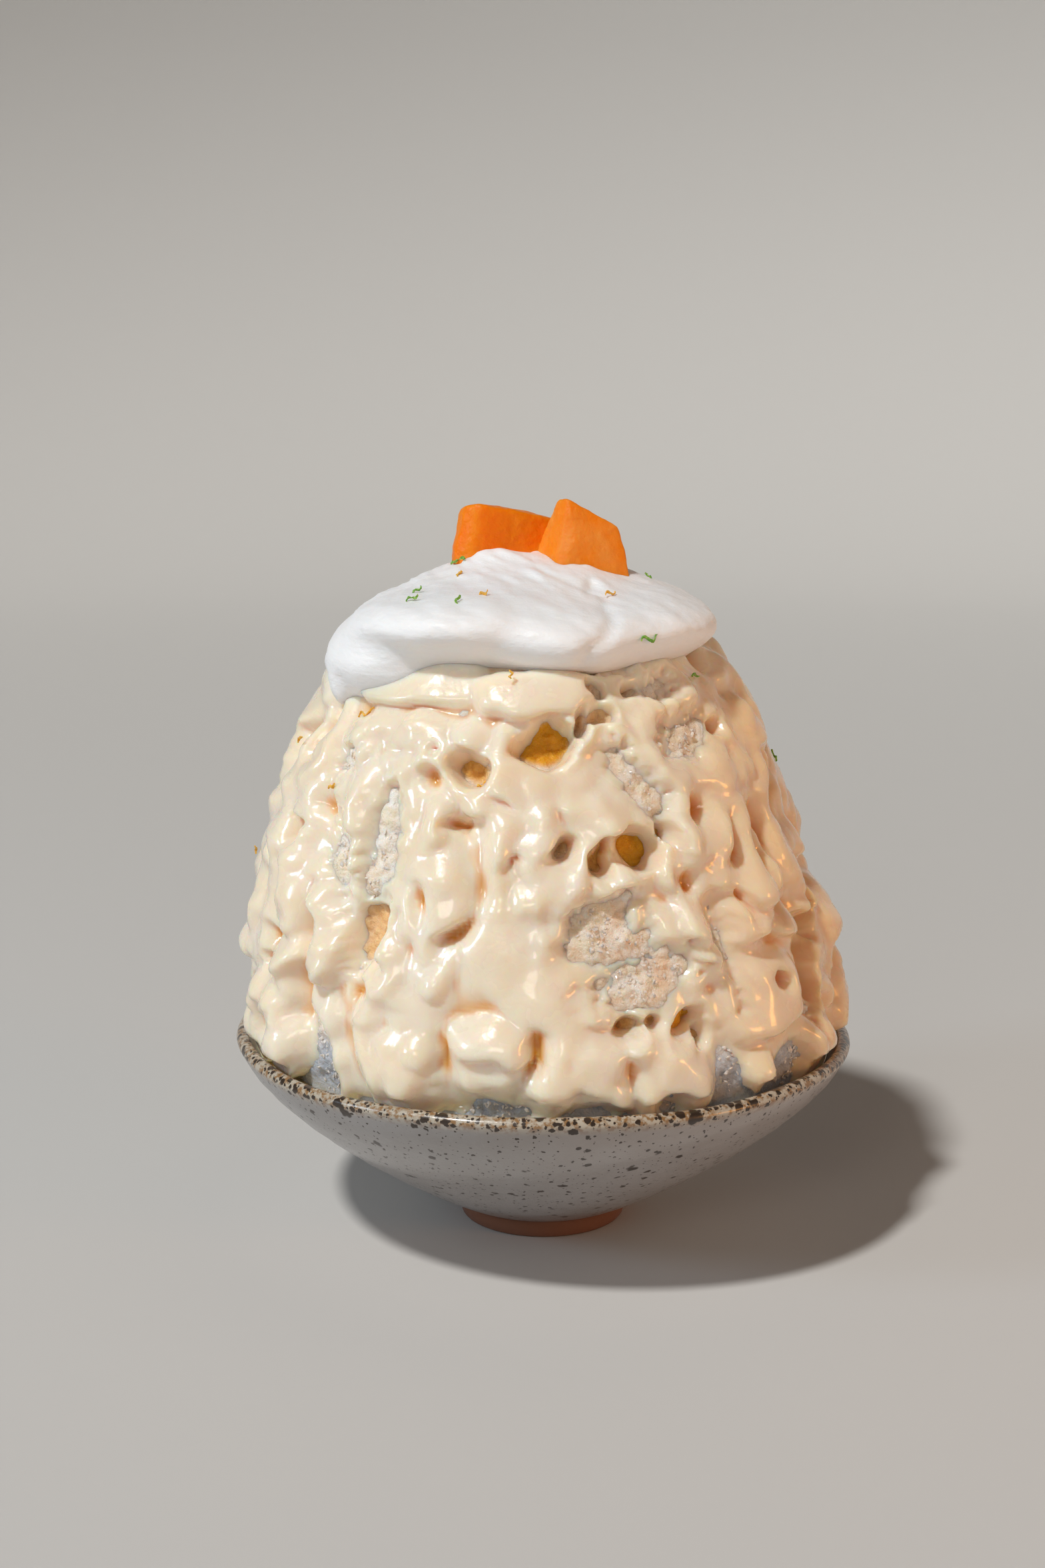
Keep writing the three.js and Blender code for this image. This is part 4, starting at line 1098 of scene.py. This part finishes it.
def shaving(seed, point, out, length, angle):
    """One curled ribbon: points of its upper and lower face along a bent line, and its quads."""
    side = np.cross((0, 0, 1), out)
    side /= np.linalg.norm(side)
    a = math.radians(angle)
    side = side * math.cos(a) + np.cross(out, side) * math.sin(a)
    across = np.cross(out, side)
    t = np.linspace(0, 1, ZEST_STEPS)
    curl = 1.2 + 1.6 * chance(seed)
    along = length * (t - 0.5)
    bow = length / 6 * np.sin(t * math.pi * curl)
    lift = 0.35 + 0.3 * length / 4 * np.abs(np.sin(t * math.pi * (0.8 + chance(seed + 5))))
    middle = point + along[:, None] * side + bow[:, None] * across + lift[:, None] * out
    wide = ZEST_WIDE / 2 * (0.35 + 0.65 * np.sin(math.pi * np.clip(t, 0.08, 0.92)))
    torn = chance(seed * 31 + np.arange(2 * ZEST_STEPS)).reshape(-1, 2)
    ragged = wide[:, None] * (1 + 0.35 * (torn - 0.5))
    twist = 1.3 * np.sin(t * 5 + seed)
    edge = across * np.cos(twist)[:, None] + out * np.sin(twist)[:, None]
    face = np.cross(side, edge)
    rings = [
        middle - edge * ragged[:, :1] - face * ZEST_THICK / 2,
        middle + edge * ragged[:, 1:] - face * ZEST_THICK / 2,
        middle + edge * ragged[:, 1:] + face * ZEST_THICK / 2,
        middle - edge * ragged[:, :1] + face * ZEST_THICK / 2,
    ]
    verts = np.stack(rings, axis=1).reshape(-1, 3)
    quads = [
        (4 * i + k, 4 * i + (k + 1) % 4, 4 * i + 4 + (k + 1) % 4, 4 * i + 4 + k)
        for i in range(ZEST_STEPS - 1)
        for k in range(4)
    ]
    last = 4 * ZEST_STEPS - 4
    return verts, quads + [(3, 2, 1, 0), (last, last + 1, last + 2, last + 3)]


def zest_piece(name, shavings, carrier, color, pale, slot):
    """All the shavings of one colour on one carrier, as one mesh."""
    verts, quads = [], []
    for ribbon, faces in shavings:
        quads += [tuple(i + len(verts) for i in face) for face in faces]
        verts += list(ribbon)
    obj = mesh_object(name, verts, faces=quads)
    face_out(obj)
    bpy.ops.object.shade_smooth_by_angle(angle=math.radians(50))
    finish = Finish(name)
    pith = finish.ramp(finish.noise(0.0006), (0.4, 0.0), (0.6, 1.0))
    finish.link(finish.blend(pith, color, pale), "Base Color")
    finish.link(finish.ramp(finish.noise(0.0004), (0.3, 0.3), (0.7, 0.6)), "Roughness")
    finish.set(Subsurface_Weight=0.3, Subsurface_Radius=(1.0, 0.8, 0.3), Subsurface_Scale=0.0008)
    obj.data.materials.append(finish.material)
    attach(obj, "root")
    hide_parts(carrier)


cap_shavings = []
for i, (at, elevation, length, angle, green) in enumerate(cap_zest):
    a, e = math.radians(at), math.radians(elevation)
    way = np.array([math.sin(a) * math.cos(e), -math.cos(a) * math.cos(e), math.sin(e)])
    out = way + (0, 0, 0.5)
    spot = dollop_points(way[None])[0]
    cap_shavings.append((green, shaving(i, spot, out / np.linalg.norm(out), length, angle)))
milk_shavings = []
for i, (at, z, length, angle, green) in enumerate(milk_zest):
    at, z = np.array([at]), np.array([z])
    out = heap_normal(at, z)[0]
    spot = heap_point(at, z)[0] + out * cream_height(at, z)[0]
    milk_shavings.append((green, shaving(i + 20, spot, out, length, angle)))
GREEN = ((0.10, 0.32, 0.02), (0.30, 0.50, 0.10))
YELLOW = ((0.80, 0.36, 0.02), (0.85, 0.50, 0.10))
for colors, green, tint in ((GREEN, 1, "green"), (YELLOW, 0, "yellow")):
    on_cap = [ribbon for is_green, ribbon in cap_shavings if is_green == green]
    on_milk = [ribbon for is_green, ribbon in milk_shavings if is_green == green]
    zest_piece(f"{tint}_zest_on_cap", on_cap, "whipped_cream", *colors, "whipped_cream")
    zest_piece(f"{tint}_zest_on_sauce", on_milk, "milk_cream", *colors, "milk_cream")


# ---- Stage -----------------------------------
# A pale round cove that runs up on every side, a small bright light nearly overhead, cool
# daylight from the left, a soft light in front, a warm glow from the right, and a camera a
# little above the rim.
COVE_FLOOR = 1500
COVE_BEND = 700
COVE_COLOR = (0.62, 0.61, 0.59, 1)
cove_section = [(0, 0), (COVE_FLOOR, 0)]
for i in range(1, 13):
    a = i / 12 * math.pi / 2
    cove_section.append((COVE_FLOOR + COVE_BEND * math.sin(a), COVE_BEND * (1 - math.cos(a))))
cove_section.append((COVE_FLOOR + COVE_BEND, 2.2 * COVE_BEND))
cove = spun_body("cove", cove_section, 64)
bpy.ops.object.shade_smooth()
cove_paint = bpy.data.materials.new("pale_cove")
cove_paint.use_nodes = True
paint = cove_paint.node_tree.nodes["Principled BSDF"].inputs
paint["Base Color"].default_value = COVE_COLOR
paint["Roughness"].default_value = 0.8
cove.data.materials.append(cove_paint)
cove.visible_shadow = False


def aimed(name, kind, place, power, color, **settings):
    """A light at a place, turned towards the middle of the dessert."""
    light = bpy.data.lights.new(name, kind)
    light.energy = power
    light.color = color
    for key, value in settings.items():
        setattr(light, key, value)
    lamp = bpy.data.objects.new(name, light)
    bpy.context.collection.objects.link(lamp)
    lamp.location = place
    lamp.rotation_euler = (Vector((0, 0, 0.1)) - Vector(place)).to_track_quat("-Z", "Y").to_euler()


aimed("overhead", "SUN", (-0.5, -0.55, 1.15), 2.15, (1.0, 0.98, 0.95), angle=math.radians(5))
aimed("window", "AREA", (-0.9, -0.35, 0.45), 1.9, (0.66, 0.82, 1.0), size=0.2)
aimed("front", "AREA", (-0.3, -0.95, 0.5), 0.9, (1.0, 0.95, 0.88), size=0.25)
aimed("glow", "AREA", (0.8, -0.35, 0.16), 1.4, (1.0, 0.40, 0.08), size=0.2)
world = bpy.data.worlds.new("studio")
world.use_nodes = True
world.node_tree.nodes["Background"].inputs[0].default_value = (0.80, 0.82, 0.85, 1)
world.node_tree.nodes["Background"].inputs[1].default_value = 0.05
bpy.context.scene.world = world
bpy.context.scene.view_settings.view_transform = "Standard"

LENS = 50
CAMERA_PLACE = (-0.00505, -0.5186, 0.2038)
CAMERA_PITCH = 79.54
camera_data = bpy.data.cameras.new("camera")
camera_data.lens = LENS
camera = bpy.data.objects.new("camera", camera_data)
bpy.context.collection.objects.link(camera)
camera.location = CAMERA_PLACE
camera.rotation_euler = (math.radians(CAMERA_PITCH), 0, 0)
bpy.context.scene.camera = camera
